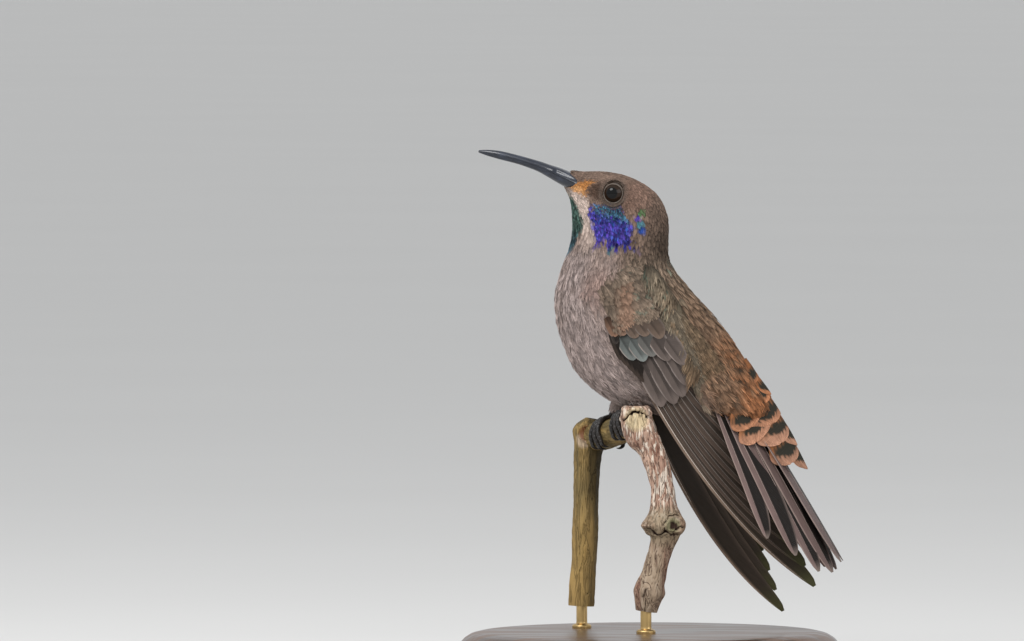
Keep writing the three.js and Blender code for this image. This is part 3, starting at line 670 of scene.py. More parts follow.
def assemble(name, pattern, corners, colours, bake_spots=None):
    """One mesh of many feathers: corners has a row of the pattern's corners for each feather."""
    count, size = corners.shape[:2]
    faces = []
    for sides in sorted({len(face) for face in pattern["faces"]}):
        same = np.array([face for face in pattern["faces"] if len(face) == sides])
        shifted = same[None] + (np.arange(count) * size)[:, None, None]
        faces += shifted.reshape(-1, sides).tolist()
    mesh = bpy.data.meshes.new(name)
    mesh.from_pydata((corners.reshape(-1, 3) * MM).tolist(), [], faces)
    piece = bpy.data.objects.new(name, mesh)
    bpy.context.scene.collection.objects.link(piece)
    mesh.update()
    paint(piece, "Plumage", colours.reshape(-1, 4))
    owner = np.zeros(len(mesh.loops), int)
    mesh.loops.foreach_get("vertex_index", owner)
    local = pattern["corners"][owner % size]
    if bake_spots is not None:
        spots = bake_spots[owner // size] + np.stack([local[:, 1] * 0.5, local[:, 0] - 0.5], axis=1) * 0.003
        mesh.uv_layers.new(name="OFBake").data.foreach_set("uv", spots.ravel())
    else:
        surface = np.stack([local[:, 1] * 0.5 + 0.5, local[:, 0]], axis=1)
        mesh.uv_layers.new(name="Surface").data.foreach_set("uv", surface.ravel())
    return piece


# ---- Materials -------------------------------------------------------------------------------


def connect(tree, socket, value):
    """Gives a socket a number, a colour or another node's output."""
    if isinstance(value, bpy.types.NodeSocket):
        tree.links.new(value, socket)
    elif socket.type == "RGBA":
        socket.default_value = (*value, 1)
    else:
        socket.default_value = value


def feed(tree, node, **inputs):
    """Connects a node's inputs, named with _ for a space."""
    for key, value in inputs.items():
        connect(tree, node.inputs[key.replace("_", " ")], value)
    return node


def add_node(tree, kind, settings=None, **inputs):
    node = tree.nodes.new(kind)
    for key, value in (settings or {}).items():
        setattr(node, key, value)
    return feed(tree, node, **inputs)


def maths(tree, operation, first, second=0.0):
    node = add_node(tree, "ShaderNodeMath", {"operation": operation})
    connect(tree, node.inputs[0], first)
    connect(tree, node.inputs[1], second)
    return node.outputs[0]


def blend(tree, share, first, second, mode="MIX"):
    node = add_node(tree, "ShaderNodeMix", {"data_type": "RGBA", "blend_type": mode})
    for place, value in ((0, share), (6, first), (7, second)):
        connect(tree, node.inputs[place], value)
    return node.outputs[2]


def spread(tree, value, low, high, to_low=0.0, to_high=1.0):
    return add_node(
        tree, "ShaderNodeMapRange", {"interpolation_type": "SMOOTHSTEP"},
        Value=value, From_Min=low, From_Max=high, To_Min=to_low, To_Max=to_high,
    ).outputs["Result"]


def new_group(name, inputs, outputs):
    """An empty node group with named inputs (name: kind, default) and outputs (name: kind)."""
    group = bpy.data.node_groups.new(name, "ShaderNodeTree")
    for key, (kind, default) in inputs.items():
        socket = group.interface.new_socket(key, in_out="INPUT", socket_type=kind)
        if default is not None:
            socket.default_value = default
    for key, kind in outputs.items():
        group.interface.new_socket(key, in_out="OUTPUT", socket_type=kind)
    return group, group.nodes.new("NodeGroupInput").outputs, group.nodes.new("NodeGroupOutput").inputs


FLOAT, VECTOR = "NodeSocketFloat", "NodeSocketVector"


@cache
def mottle_group():
    """Soft, uneven light and dark."""
    group, given, made = new_group(
        "Mottle",
        {"Vector": (VECTOR, None), "Scale": (FLOAT, 800.0), "Contrast": (FLOAT, 0.3)},
        {"Shade": FLOAT, "Height": FLOAT},
    )
    speckle = add_node(group, "ShaderNodeTexNoise", Vector=given["Vector"], Scale=given["Scale"], Detail=4.0)
    centred = maths(group, "SUBTRACT", speckle.outputs["Fac"], 0.5)
    change = maths(group, "MULTIPLY", maths(group, "MULTIPLY", centred, 2.0), given["Contrast"])
    group.links.new(maths(group, "ADD", change, 1.0), made["Shade"])
    group.links.new(speckle.outputs["Fac"], made["Height"])
    return group


@cache
def barb_group():
    """The fine slanted barbs of a flat feather, from its own map: across in X, along in Y."""
    group, given, made = new_group(
        "Barbs",
        {
            "Surface": (VECTOR, None), "Count": (FLOAT, 90.0),
            "Slant": (FLOAT, 0.35), "Contrast": (FLOAT, 0.3),
        },
        {"Shade": FLOAT, "Height": FLOAT},
    )
    parts = add_node(group, "ShaderNodeSeparateXYZ", Vector=given["Surface"])
    aside = maths(group, "ABSOLUTE", maths(group, "SUBTRACT", parts.outputs["X"], 0.5))
    along = maths(group, "SUBTRACT", parts.outputs["Y"], maths(group, "MULTIPLY", aside, given["Slant"]))
    turns = maths(group, "MULTIPLY", maths(group, "MULTIPLY", along, given["Count"]), 2 * pi)
    clump_place = add_node(group, "ShaderNodeCombineXYZ", X=maths(group, "MULTIPLY", along, 26.0), Y=aside)
    clumps = add_node(group, "ShaderNodeTexNoise", Vector=clump_place.outputs[0], Scale=1.6, Detail=2.0)
    uneven = maths(group, "MULTIPLY", maths(group, "SUBTRACT", clumps.outputs["Fac"], 0.5), 2.4)
    height = maths(group, "ADD", maths(group, "MULTIPLY", maths(group, "SINE", turns), 0.5), uneven)
    change = maths(group, "MULTIPLY", height, given["Contrast"])
    group.links.new(maths(group, "ADD", change, 1.0), made["Shade"])
    group.links.new(height, made["Height"])
    return group


@cache
def grain_group():
    """Streaks that run with the grain of bark or wood, from object places stretched along the grain."""
    group, given, made = new_group(
        "Grain",
        {"Vector": (VECTOR, None), "Scale": (FLOAT, 900.0), "Stretch": (VECTOR, (1.0, 1.0, 0.2))},
        {"Streak": FLOAT, "Flake": FLOAT, "Height": FLOAT},
    )
    stretched = add_node(group, "ShaderNodeVectorMath", {"operation": "MULTIPLY"})
    connect(group, stretched.inputs[0], given["Vector"])
    connect(group, stretched.inputs[1], given["Stretch"])
    place = stretched.outputs[0]
    fine = add_node(
        group, "ShaderNodeTexNoise", Vector=place, Scale=given["Scale"], Detail=6.0, Distortion=0.6
    )
    wide = maths(group, "MULTIPLY", given["Scale"], 0.7)
    flakes = add_node(group, "ShaderNodeTexNoise", Vector=place, Scale=wide, Detail=3.0, Distortion=1.8)
    group.links.new(spread(group, fine.outputs["Fac"], 0.35, 0.65), made["Streak"])
    off_middle = maths(group, "ABSOLUTE", maths(group, "SUBTRACT", flakes.outputs["Fac"], 0.5))
    flake = spread(group, off_middle, 0.0, 0.04)
    group.links.new(flake, made["Flake"])
    height = maths(group, "ADD", fine.outputs["Fac"], maths(group, "MULTIPLY", flake, 0.5))
    group.links.new(height, made["Height"])
    return group


def use_group(tree, group, **inputs):
    return add_node(tree, "ShaderNodeGroup", {"node_tree": group}, **inputs).outputs


def mottled(tree, scale, contrast):
    return use_group(tree, mottle_group(), Vector=object_places(tree), Scale=scale, Contrast=contrast)


def grained(tree, scale, stretch):
    return use_group(tree, grain_group(), Vector=object_places(tree), Scale=scale, Stretch=stretch)


def stored(tree, name):
    """What a piece stores under a name on its corners."""
    return add_node(tree, "ShaderNodeAttribute", {"attribute_name": name}).outputs


def new_material(name, **sockets):
    """A material whose shader has these plain values. Returns it, its tree and its shader."""
    material = bpy.data.materials.new(name)
    material.use_nodes = True
    tree = material.node_tree
    return material, tree, feed(tree, tree.nodes["Principled BSDF"], **sockets)


def object_places(tree):
    return tree.nodes.new("ShaderNodeTexCoord").outputs["Object"]


def add_relief(tree, shader, height, depth_mm, strength=1.0):
    bump = add_node(tree, "ShaderNodeBump", Height=height, Strength=strength, Distance=depth_mm * MM)
    tree.links.new(bump.outputs["Normal"], shader.inputs["Normal"])


def tinted(tree, colour, shade):
    """A colour made lighter or darker by a shade around 1."""
    grey = add_node(tree, "ShaderNodeCombineColor", Red=shade, Green=shade, Blue=shade)
    return blend(tree, 1.0, colour, grey.outputs[0], "MULTIPLY")


@cache
def plumage_material():
    """Soft feathers in the colours stored on their corners; where they glitter they turn metallic."""
    material, tree, shader = new_material("Soft plumage", Specular_IOR_Level=0.18)
    plumage, uneven = stored(tree, "Plumage"), mottled(tree, 2600.0, 0.35)
    feed(
        tree, shader, Base_Color=tinted(tree, plumage["Color"], uneven["Shade"]),
        Roughness=spread(tree, plumage["Alpha"], 0.0, 0.8, 0.72, 0.36),
        Metallic=spread(tree, plumage["Alpha"], 0.05, 0.8, 0.0, 0.8),
    )
    add_relief(tree, shader, uneven["Height"], 0.05, 0.4)
    return material


def quill_material(name, roughness, contrast, count, gloss=0.25):
    """A firm flat feather with fine barbs, in the colours stored on its corners."""
    material, tree, shader = new_material(name, Specular_IOR_Level=gloss)
    plumage, uneven = stored(tree, "Plumage"), mottled(tree, 700.0, 0.2)
    surface = add_node(tree, "ShaderNodeUVMap", {"uv_map": "Surface"})
    barbs = use_group(tree, barb_group(), Surface=surface.outputs["UV"], Count=count, Contrast=contrast)
    shade = maths(tree, "MULTIPLY", barbs["Shade"], uneven["Shade"])
    feed(
        tree, shader, Base_Color=tinted(tree, plumage["Color"], shade),
        Roughness=spread(tree, uneven["Height"], 0.3, 0.7, roughness - 0.08, roughness + 0.1),
        Metallic=spread(tree, plumage["Alpha"], 0.0, 1.0, 0.0, 0.85),
    )
    add_relief(tree, shader, barbs["Height"], 0.05, 0.5)
    return material


# ---- What a user would change ----------------------------------------------------------------


def colour(name, default, description):
    return FloatVectorProperty(
        name=name, description=description, default=default, subtype="COLOR", size=3, min=0.0, max=1.0
    )


def length(name, default, description):
    return FloatProperty(
        name=name, description=description, default=default, min=0.0, subtype="DISTANCE", unit="LENGTH"
    )


def amount(name, default, description, **limits):
    return FloatProperty(name=name, description=description, default=default, **limits)


class HummingbirdPlumage(bpy.types.PropertyGroup):
    coat_depth: length("Coat depth", 0.0005, "How far the skin lies inside the plumage's surface")
    feather_scale: amount("Feather size", 1.0, "Size of every small feather", min=0.4)
    crowding: amount("Crowding", 1.0, "How closely small feathers overlap", min=0.5)
    seed: IntProperty(name="Seed", description="Start of the random draws", default=11, min=0)
    head_brown: colour("Head", (0.175, 0.118, 0.09), "Crown and cheeks")
    nape_dark: colour("Nape", (0.028, 0.021, 0.014), "Back of the neck")
    orbit_grey: colour("Round the eye", (0.13, 0.098, 0.078), "Feathers next to the bare eye ring")
    breast_grey: colour("Breast", (0.34, 0.26, 0.228), "Neck, breast and flanks")
    belly_grey: colour("Belly", (0.29, 0.23, 0.185), "Lower belly")
    vent_buff: colour("Vent", (0.27, 0.19, 0.135), "Under the tail's root")
    mantle_brown: colour("Mantle", (0.15, 0.11, 0.08), "Back and shoulders")
    mantle_glint: colour("Mantle glint", (0.1, 0.15, 0.115), "Green glints on back and shoulders")
    rump_brown: colour("Upper rump", (0.16, 0.09, 0.05), "Lower back")
    rump_rufous: colour("Rump", (0.35, 0.14, 0.058), "Rump feathers")
    covert_dark: colour("Lesser coverts", (0.12, 0.088, 0.064), "Small feathers of the folded arm")
    covert_rufous: colour("Wing bend", (0.26, 0.145, 0.095), "Rufous wash on the wing's bend")
    lore_orange: colour("Lores", (0.38, 0.165, 0.05), "Between bill and eye")
    malar_buff: colour("Malar stripe", (0.47, 0.375, 0.325), "Pale stripe under the eye")
    gorget_green: colour("Throat", (0.068, 0.122, 0.1), "Glittering throat")
    gorget_blue: colour("Lower throat", (0.035, 0.07, 0.09), "Bluer foot of the throat patch")
    ear_violet: colour("Ear patch", (0.1, 0.06, 0.4), "Violet ear patch")
    ear_blue: colour("Ear patch blue", (0.035, 0.085, 0.34), "Bluer feathers of the ear patch")
    ear_teal: colour("Ear patch edge", (0.085, 0.22, 0.27), "Teal upper edge of the ear patch")
    glint_green: colour("Ear glint", (0.1, 0.2, 0.085), "Single green feathers behind the ear patch")


def settings(name):
    """The values that a user may change, with the colours as arrays."""
    group = getattr(bpy.context.scene, "hummingbird_" + name)
    values = {key: getattr(group, key) for key in group.__annotations__}
    return SimpleNamespace(**{
        key: value if isinstance(value, (int, float)) else np.array(value) for key, value in values.items()
    })


# ---- Skin ------------------------------------------------------------------------------------


def skin_inset(points):
    """How far the skin lies inside the plumage, in millimetres."""
    inset = np.full(len(points), settings("plumage").coat_depth / MM)
    inset = lerp(0.06, inset, ramp(eye_distance(points), 2.9, 4.4))
    bill_root = np.linalg.norm(points - (-16.8, 0, 98.6), axis=1)
    inset = lerp(0.1, inset, ramp(bill_root, 1.5, 4.5))
    inset = lerp(inset, 0.35, ramp(points @ TAIL_DOWN, -38, -33))
    return inset


def sink_arms(points):
    """Pushes the skin in under the large feathers of the folded arms."""
    for name, side in SIDES.items():
        s, t, lift = wing_spot(name, points)
        share = arm_share(s, t)
        mask = ramp(share, -0.05, 0.05) * (1 - ramp(share, 0.95, 1.05))
        mask = mask * ramp(s, -2, 1) * (1 - ramp(s, 25, 27)) * ramp(lift, -1.2, -0.4)
        large = ramp(s, 7.5, 11) * (1 - ramp(t, 4.2, 6.2))
        target = arm_lift(s, t) - lerp(0.5, 1.35, large)
        deeper = lerp(lift, np.minimum(lift, target), mask)
        points = points + np.array([0, side, 0]) * (deeper - lift)[:, None]
    return points


def merge_all(distance=1e-6):
    """Joins corners that meet in the piece that is in edit mode."""
    bpy.ops.mesh.select_all(action="SELECT")
    bpy.ops.mesh.remove_doubles(threshold=distance)


def build_skin():
    """One closed skin from the solids of flesh, without their thin gaps."""
    bpy.ops.object.select_all(action="DESELECT")
    copies = []
    for name in FLESH_NODES:
        copy = frame["nodes"][name].copy()
        copy.data = copy.data.copy()
        copy.parent = None
        bpy.context.scene.collection.objects.link(copy)
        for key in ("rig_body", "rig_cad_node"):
            del copy[key]
        copies.append(copy)
    skin = join("bird_skin", copies)
    close_gap = 0.2
    activate(skin)
    bpy.ops.object.mode_set(mode="EDIT")
    merge_all()
    bpy.ops.object.mode_set(mode="OBJECT")
    apply_modifier(skin, "DISPLACE", strength=close_gap * MM, mid_level=0.0)
    apply_modifier(skin, "REMESH", mode="VOXEL", voxel_size=0.36 * MM)
    apply_modifier(skin, "SMOOTH", factor=0.5, iterations=9)
    points = places(skin)
    normals = np.array([vertex.normal for vertex in skin.data.vertices])
    points = sink_arms(points - normals * (close_gap + skin_inset(points))[:, None])
    points[:, 1] *= 1 - 0.5 * inside(points[:, [0, 2]], BILL_ROOT, 0.35)
    move_to(skin, points)
    apply_modifier(skin, "SMOOTH", factor=0.5, iterations=3)

    # The thin ends of the tail's coverts are feathers only, so the skin stops before them.
    activate(skin)
    bpy.ops.object.mode_set(mode="EDIT")
    bpy.ops.mesh.select_all(action="SELECT")
    bpy.ops.mesh.bisect(
        plane_co=SKIN_END, plane_no=SKIN_END_WAY, use_fill=True, clear_outer=True, threshold=1e-6
    )
    merge_all()
    bpy.ops.mesh.normals_make_consistent(inside=False)
    bpy.ops.object.mode_set(mode="OBJECT")
    return skin


# ---- Small feathers --------------------------------------------------------------------------


class Ground:
    """The skin as the small feathers see it: where it is, where it faces and how the coat lies on it."""

    def __init__(self, skin):
        skin.data.calc_loop_triangles()
        self.points = places(skin)
        self.normals = np.array([vertex.normal for vertex in skin.data.vertices])
        self.triangles = np.array([triangle.vertices for triangle in skin.data.loop_triangles])
        self.tree = BVHTree.FromPolygons(self.points.tolist(), self.triangles.tolist())

    def settle(self, points):
        """The nearest places on the skin and their smooth normals."""
        found = [self.tree.find_nearest(Vector(point)) for point in points]
        spots = np.array([hit[0] for hit in found])
        corners = self.triangles[[hit[2] for hit in found]]
        away = np.linalg.norm(self.points[corners] - spots[:, None], axis=2)
        weight = 1 / (away + 0.02)
        weight /= weight.sum(axis=1, keepdims=True)
        return spots, unit((self.normals[corners] * weight[..., None]).sum(axis=1))

    def lie(self, points, normals):
        """The direction in which the coat lies, along the skin."""
        _, way = body_map(points)
        for name in SIDES:
            fall = radians(WINGS[name]["fall"])
            along_wing = np.array([cos(fall), 0, -sin(fall)])
            way = lerp(way, along_wing, on_arm(name, points)[:, None])
        return unit(way - normals * (way * normals).sum(axis=1, keepdims=True))

    def scatter(self, spacing_at, seed):
        """Even places over the skin, about spacing_at apart, in a fixed random order."""
        rng = np.random.default_rng(seed)
        a, b, c = (self.points[self.triangles[:, k]] for k in range(3))
        areas = np.linalg.norm(np.cross(b - a, c - a), axis=1) / 2
        spacing = spacing_at((a + b + c) / 3)
        wanted = areas / spacing ** 2
        count = int(5 * wanted.sum())
        chosen = rng.choice(len(areas), count, p=wanted / wanted.sum())
        u, v = rng.random((2, count, 1))
        over = u + v > 1
        u, v = np.where(over, 1 - u, u), np.where(over, 1 - v, v)
        spots = a[chosen] + u * (b - a)[chosen] + v * (c - a)[chosen]
        reach = spacing[chosen]
        near = KDTree(count)
        for i, spot_place in enumerate(spots):
            near.insert(spot_place, i)
        near.balance()
        taken = np.zeros(count, bool)
        kept = []
        for i in range(count):
            if not taken[i]:
                kept.append(i)
                for _, j, _ in near.find_range(spots[i], reach[i]):
                    taken[j] = True
        return spots[kept]


def feather_sizes(points):
    """Length and width of the small feather rooted at each point."""
    share, _ = body_map(points)
    scale = settings("plumage").feather_scale
    stations = (0, 0.08, 0.16, 0.26, 0.36, 0.46, 0.58, 0.7, 0.82, 1)
    long = np.interp(share, stations, (0.7, 1.0, 1.3, 1.6, 2.1, 2.7, 3.3, 3.6, 3.7, 3.6))
    wide = np.interp(share, stations, (0.4, 0.55, 0.7, 0.8, 1.0, 1.3, 1.6, 1.7, 1.8, 1.8))
    by_eye = lerp(0.55, 1, ramp(eye_distance(points), 2.8, 5.5))
    by_eye = by_eye * lerp(1, 0.78, inside(points[:, [0, 2]], EAR_PATCH, 0.3))
    for name in SIDES:
        arm = on_arm(name, points)
        long, wide = lerp(long, 2.3, arm), lerp(wide, 1.5, arm)
    return long * by_eye * scale, wide * by_eye * scale


def is_loose(points):
    """Hair-like plumage in front, scale-like plumage on head, back and arms."""
    share, tangent = body_map(points)
    arms = sum(on_arm(name, points) for name in SIDES)
    return (share > 0.33) & (back_share(points, share, tangent) < 0.35) & (arms < 0.5)


def bare_or_hidden(points, normals, hiding):
    """True where no small feather grows or where a large one covers it."""
    bare = eye_distance(points) < EYE["ring"] - 0.5
    bare |= inside(points[:, [0, 2]], BILL_ROOT, 0.1) > 0.5
    bare |= points @ np.array(SKIN_END_WAY) > -29.6
    for name in SIDES:
        s, t, _ = wing_spot(name, points)
        bare |= (on_arm(name, points) > 0.5) & (s > 9.5) & (t < 4.6)
    starts = points + normals * 0.1
    for i in np.flatnonzero(~bare):
        hit = hiding.ray_cast(Vector(starts[i]), Vector(normals[i]), 3.5)
        bare[i] = hit[0] is not None
    return bare


def lay_small_feathers(name, ground, roots, kind, rng):
    """One piece of the coat: each feather bends over the skin from its root to its tip."""
    count = len(roots)
    spots, normals = ground.settle(roots)
    long, wide = feather_sizes(spots)
    long = long * rng.uniform(0.8, 1.2, count)
    way = ground.lie(spots, normals)
    side = np.cross(normals, way)
    turn = rng.normal(0, kind["stray"], count)[:, None]
    way = way * np.cos(turn) + side * np.sin(turn)
    middles, middle_normals = ground.settle(spots + way * (long / 2)[:, None])
    way_on = unit(way - middle_normals * (way * middle_normals).sum(axis=1, keepdims=True))
    ends, end_normals = ground.settle(middles + way_on * (long / 2)[:, None])
    proud = kind["proud"] * np.clip(long / 2.6, 0.35, 1.1) * rng.uniform(0.5, 1.5, count)
    proud = proud * lerp(1, 0.3, ramp(spots @ TAIL_DOWN, -38, -31))
    start = spots - normals * 0.05
    middle = middles + middle_normals * (proud * 0.85)[:, None]
    end = ends + end_normals * proud[:, None]
    return feather_piece(name, (start, middle, end), (normals, end_normals), (long, wide), spots, kind, rng)


def feather_piece(name, path, ups, sizes, spots, kind, rng):
    """One mesh of soft feathers, each bent along its own path and coloured by its root's place."""
    pattern = kind["pattern"]
    barbs = pattern["barbs"]
    count = len(spots)
    start, middle, end = (points[:, None] for points in path)
    long, wide = sizes
    a, b, h = pattern["corners"].T
    uneven = 1 + rng.uniform(-kind["ragged"], kind["ragged"] * 0.5, (count, barbs))[:, pattern["barb"]]
    a = np.clip(a[None] * uneven, 0, 1.15)[..., None]
    line = start * (1 - a) * (1 - 2 * a) + middle * 4 * a * (1 - a) + end * a * (2 * a - 1)
    heading = start * (4 * a - 3) + middle * (4 - 8 * a) + end * (4 * a - 1)
    up = unit(lerp(ups[0][:, None], ups[1][:, None], a))
    across = unit(np.cross(up, heading))
    thick = np.clip(0.02 + 0.007 * long, 0, 0.05)[:, None, None]
    corners = line + across * b[None, :, None] * (wide / 2)[:, None, None] + up * h[None, :, None] * thick

    colour_at, tips, reach, root, glitter = markings(lerp(path[0], path[1], kind["marked_at"]))
    colour_at, tips = colour_at * kind.get("tint", 1.0), tips * kind.get("tint", 1.0)
    streak = 1 + kind["streak"] * (np.arange(barbs) == barbs // 2)
    barb_shade = streak * (1 + rng.normal(0, kind["contrast"], (count, barbs)))
    barb_shade = barb_shade[:, pattern["barb"]][..., None]
    along = a[..., 0]
    to_tip = ramp(along, (1 - reach - 0.25)[:, None], 0.97)[..., None]
    # Painted shade: each feather darkens towards its root, under the feathers that lie over it.
    shade = lerp(root[:, None], 1, ramp(along, 0, 0.65))[..., None]
    tint = lerp(colour_at[:, None] * shade, tips[:, None], to_tip * 0.75) * np.clip(barb_shade, 0.5, 1.8)
    gloss = np.broadcast_to(glitter[:, None, None], along.shape + (1,))
    colours = np.concatenate([np.clip(tint, 0.004, 0.95), gloss], axis=2)
    piece = assemble(name, pattern, corners, colours, unwrap(spots))
    return finish(piece, plumage_material(), angle=70)


def triangle_count(pattern):
    return sum(len(face) - 2 for face in pattern["faces"])


def hidden_by(names):
    """The solids that hide what lies under them, as one searchable surface."""
    points, triangles = [], []
    for name in names:
        mesh = frame["nodes"][name].data
        mesh.calc_loop_triangles()
        first = len(points)
        points += [vertex.co / MM for vertex in mesh.vertices]
        triangles += [[i + first for i in triangle.vertices] for triangle in mesh.loop_triangles]
    return BVHTree.FromPolygons(points, triangles)


class HUMMINGBIRD_OT_skin(bpy.types.Operator):
    """Close the body's solids into one skin under the plumage"""

    bl_idname = "hummingbird.skin"
    bl_label = "Skin"

    def execute(self, context):
        skin = build_skin()
        points = places(skin)
        colour_at, tips, _, _, glitter = markings(points, seed=5)
        # Painted shade: the skin shows only in gaps deep under the feathers, so its colour is darkened.
        tint = np.clip(lerp(colour_at, tips, 0.2) * 0.62, 0.004, 0.95)
        paint(skin, "Plumage", np.concatenate([tint, glitter[:, None] * 0.5], axis=1))
        finish(skin, plumage_material(), FLESH_NODES, angle=80)
        return {"FINISHED"}


# Where the inner part of each folded wing lies under soft feathers of back and flank (s, t).
SIDE_PLUMES = [
    (8.5, 5.6), (8.5, 9.6), (15, 11.2), (24, 10.8), (29.5, 6.6), (28.6, 3.4), (23.5, 4.4), (18, 5.2),
    (13, 5.0),
]


PLUME_KINDS = {
    "head": {
        "barbs": (5, 0.2, 0.85), "stray": 0.1, "proud": 0.14, "ragged": 0.18,
        "contrast": 0.24, "streak": 0.0, "marked_at": 1, "slot": "head_plumage",
    },
    "arm": {
        "barbs": (7, 0.15, 0.85), "stray": 0.14, "proud": 0.17, "ragged": 0.22,
        "contrast": 0.17, "streak": 0.1, "marked_at": 0, "slot": "wing_covert",
    },
    "breast": {
        "barbs": (7, 0.12, 0.95), "stray": 0.2, "proud": 0.22, "ragged": 0.35,
        "contrast": 0.2, "streak": 0.0, "marked_at": 0, "slot": "body_plumage",
    },
    "mantle": {
        "barbs": (7, 0.15, 0.9), "stray": 0.12, "proud": 0.2, "ragged": 0.25,
        "contrast": 0.2, "streak": 0.35, "marked_at": 0, "slot": "body_plumage",
    },
}


@cache
def plume_kind(name):
    """How one part's soft feathers look and how wild they lie, with their pattern."""
    kind = PLUME_KINDS[name]
    return {**kind, "pattern": plume_pattern(*kind["barbs"])}


class HUMMINGBIRD_OT_small_feathers(bpy.types.Operator):
    """Lay the small feathers of head, neck, breast, back and arms over the skin"""

    bl_idname = "hummingbird.small_feathers"
    bl_label = "Small feathers"

    def execute(self, context):
        plumage = settings("plumage")
        ground = Ground(bpy.data.objects["bird_skin"])

        def spacing_at(points):
            long, wide = feather_sizes(points)
            return np.sqrt(long * wide) * 0.42 / plumage.crowding

        roots = ground.scatter(spacing_at, plumage.seed)
        roots = roots[~bare_or_hidden(*ground.settle(roots), hidden_by(LARGE_FEATHERS))]
        share, _ = body_map(roots)
        arms = sum(on_arm(name, roots) for name in SIDES) > 0.5
        loose = is_loose(roots)
        masks = {
            "head": (share < 0.33) & ~arms,
            "arm": arms,
            "breast": loose & (share >= 0.33) & ~arms,
            "mantle": ~loose & (share >= 0.33) & ~arms,
        }
        rng = np.random.default_rng(plumage.seed + 1)
        for part, mask in masks.items():
            kind = plume_kind(part)
            for name, side in SIDES.items():
                chosen = roots[mask & (roots[:, 1] * side >= 0)]
                pieces = ceil(len(chosen) * triangle_count(kind["pattern"]) / PLUME_LIMIT)
                for number, some in enumerate(np.array_split(chosen, pieces), 1):
                    lay_small_feathers(f"{part}_plumage_{name}_{number}", ground, some, kind, rng)
        return {"FINISHED"}


def wing_paths(name, s, t, long, turn, level, sink, rises, rng):
    """Start, middle and end of soft feathers that lie on a level over the folded wing."""
    far_s, far_t = s + np.cos(turn) * long, t + np.sin(turn) * long
    mid_s, mid_t = (s + far_s) / 2, (t + far_t) / 2
    start = wing_place(name, s, t, level(s, t) - sink)
    middle = wing_place(name, mid_s, mid_t, level(mid_s, mid_t) + rng.uniform(*rises[0], len(s)))
    end = wing_place(name, far_s, far_t, level(far_s, far_t) + rng.uniform(*rises[1], len(s)))
    return start, middle, end


def same_way(way, count):
    return np.tile(unit(np.array(way)), (count, 1))


def lay_flank_plumes(name, s, t, kind, rng):
    """Soft feathers over the inner part of a folded wing, level with its pad and lower behind it."""
    count, scale = len(s), settings("plumage").feather_scale

    def level(s, t):
        on_pad = (s < 24.5) * (arm_lift(s, t) - 0.35)
        return np.maximum(on_pad, lerp(1.35, 0.6, ramp(s, 24, 32)))

    long = rng.uniform(2.8, 3.8, count) * scale
    wide = rng.uniform(1.5, 2.0, count) * scale
    turn = rng.normal(-0.06, 0.09, count)
    path = wing_paths(name, s, t, long, turn, level, 0.2, ((0.05, 0.25), (0.05, 0.35)), rng)
    out = same_way((0.2, SIDES[name], 0.12), count)
    feather_piece(f"side_plumes_{name}", path, (out, out), (long, wide), path[0], kind, rng)


def lay_scapulars(name, ground, kind, rng):
    """Rows of longer feathers from the back over the rear edge of the folded arm."""
    along, row = np.meshgrid(np.arange(-0.5, 21.5, 0.5), np.arange(4))
    s = along.ravel() + rng.uniform(-0.2, 0.2, along.size)
    row, count = row.ravel(), along.size
    start = wing_place(name, s, arm_edges(s)[1] + 3.0 - 0.8 * row, np.full(count, -0.6))
    start, normals = ground.settle(start)
    far_s = s + rng.uniform(3.2, 4.6, count)
    far_t = arm_edges(far_s)[1] - 0.5 - 0.7 * row + rng.uniform(-0.4, 0.4, count)
    end = wing_place(name, far_s, far_t, arm_lift(far_s, far_t) + 0.1 + rng.uniform(0, 0.2, count))
    out = same_way((0.25, SIDES[name], 0.15), count)
    middle = (start + end) / 2 + unit(normals + out) * 0.7
    long, wide = np.linalg.norm(end - start, axis=1), rng.uniform(1.7, 2.3, count)
    feather_piece(f"scapulars_{name}", (start, middle, end), (normals, out), (long, wide), start, kind, rng)


def lay_lesser_coverts(name, rng):
    """Rows of small feathers over the roots of the wing's large coverts."""
    across, row = np.meshgrid(np.arange(-3.0, 6.6, 0.55), np.arange(6))
    t = across.ravel() + rng.uniform(-0.2, 0.2, across.size)
    s = 1.6 + 0.62 * row.ravel() + 0.34 * (t + 3) + rng.uniform(-0.25, 0.25, t.size)
    on_pad = arm_share(s, t) > 0.03
    s, t = s[on_pad], t[on_pad]
    long, turn = rng.uniform(2.1, 2.8, len(s)), rng.normal(0, 0.12, len(s))
    path = wing_paths(name, s, t, long, turn, arm_lift, 0.55, ((0.0, 0.15), (0.1, 0.35)), rng)
    out, wide = same_way((0.1, SIDES[name], 0.1), len(s)), rng.uniform(1.4, 1.9, len(s))
    feather_piece(f"lesser_coverts_{name}", path, (out, out), (long, wide), path[0], plume_kind("arm"), rng)


class HUMMINGBIRD_OT_side_plumes(bpy.types.Operator):
    """Lay the soft feathers of back and flank that cover the inner part of each folded wing"""

    bl_idname = "hummingbird.side_plumes"
    bl_label = "Side plumes"

    def execute(self, context):
        plumage = settings("plumage")
        kind = {**plume_kind("mantle"), "tint": (0.7, 0.76, 0.74)}
        ground = Ground(bpy.data.objects["bird_skin"])
        rng = np.random.default_rng(plumage.seed + 2)
        step = 0.62 / plumage.crowding
        s, t = np.meshgrid(np.arange(8, 31, step), np.arange(3, 12, step))
        roots = np.stack([s.ravel(), t.ravel()], axis=1) + rng.uniform(-0.3, 0.3, (s.size, 2))
        roots = roots[inside(roots, SIDE_PLUMES, 0.2) > 0.5]
        for name in SIDES:
            lay_flank_plumes(name, *roots.T, kind, rng)
            lay_scapulars(name, ground, kind, rng)
            lay_lesser_coverts(name, rng)
        return {"FINISHED"}


# ---- Wings -----------------------------------------------------------------------------------


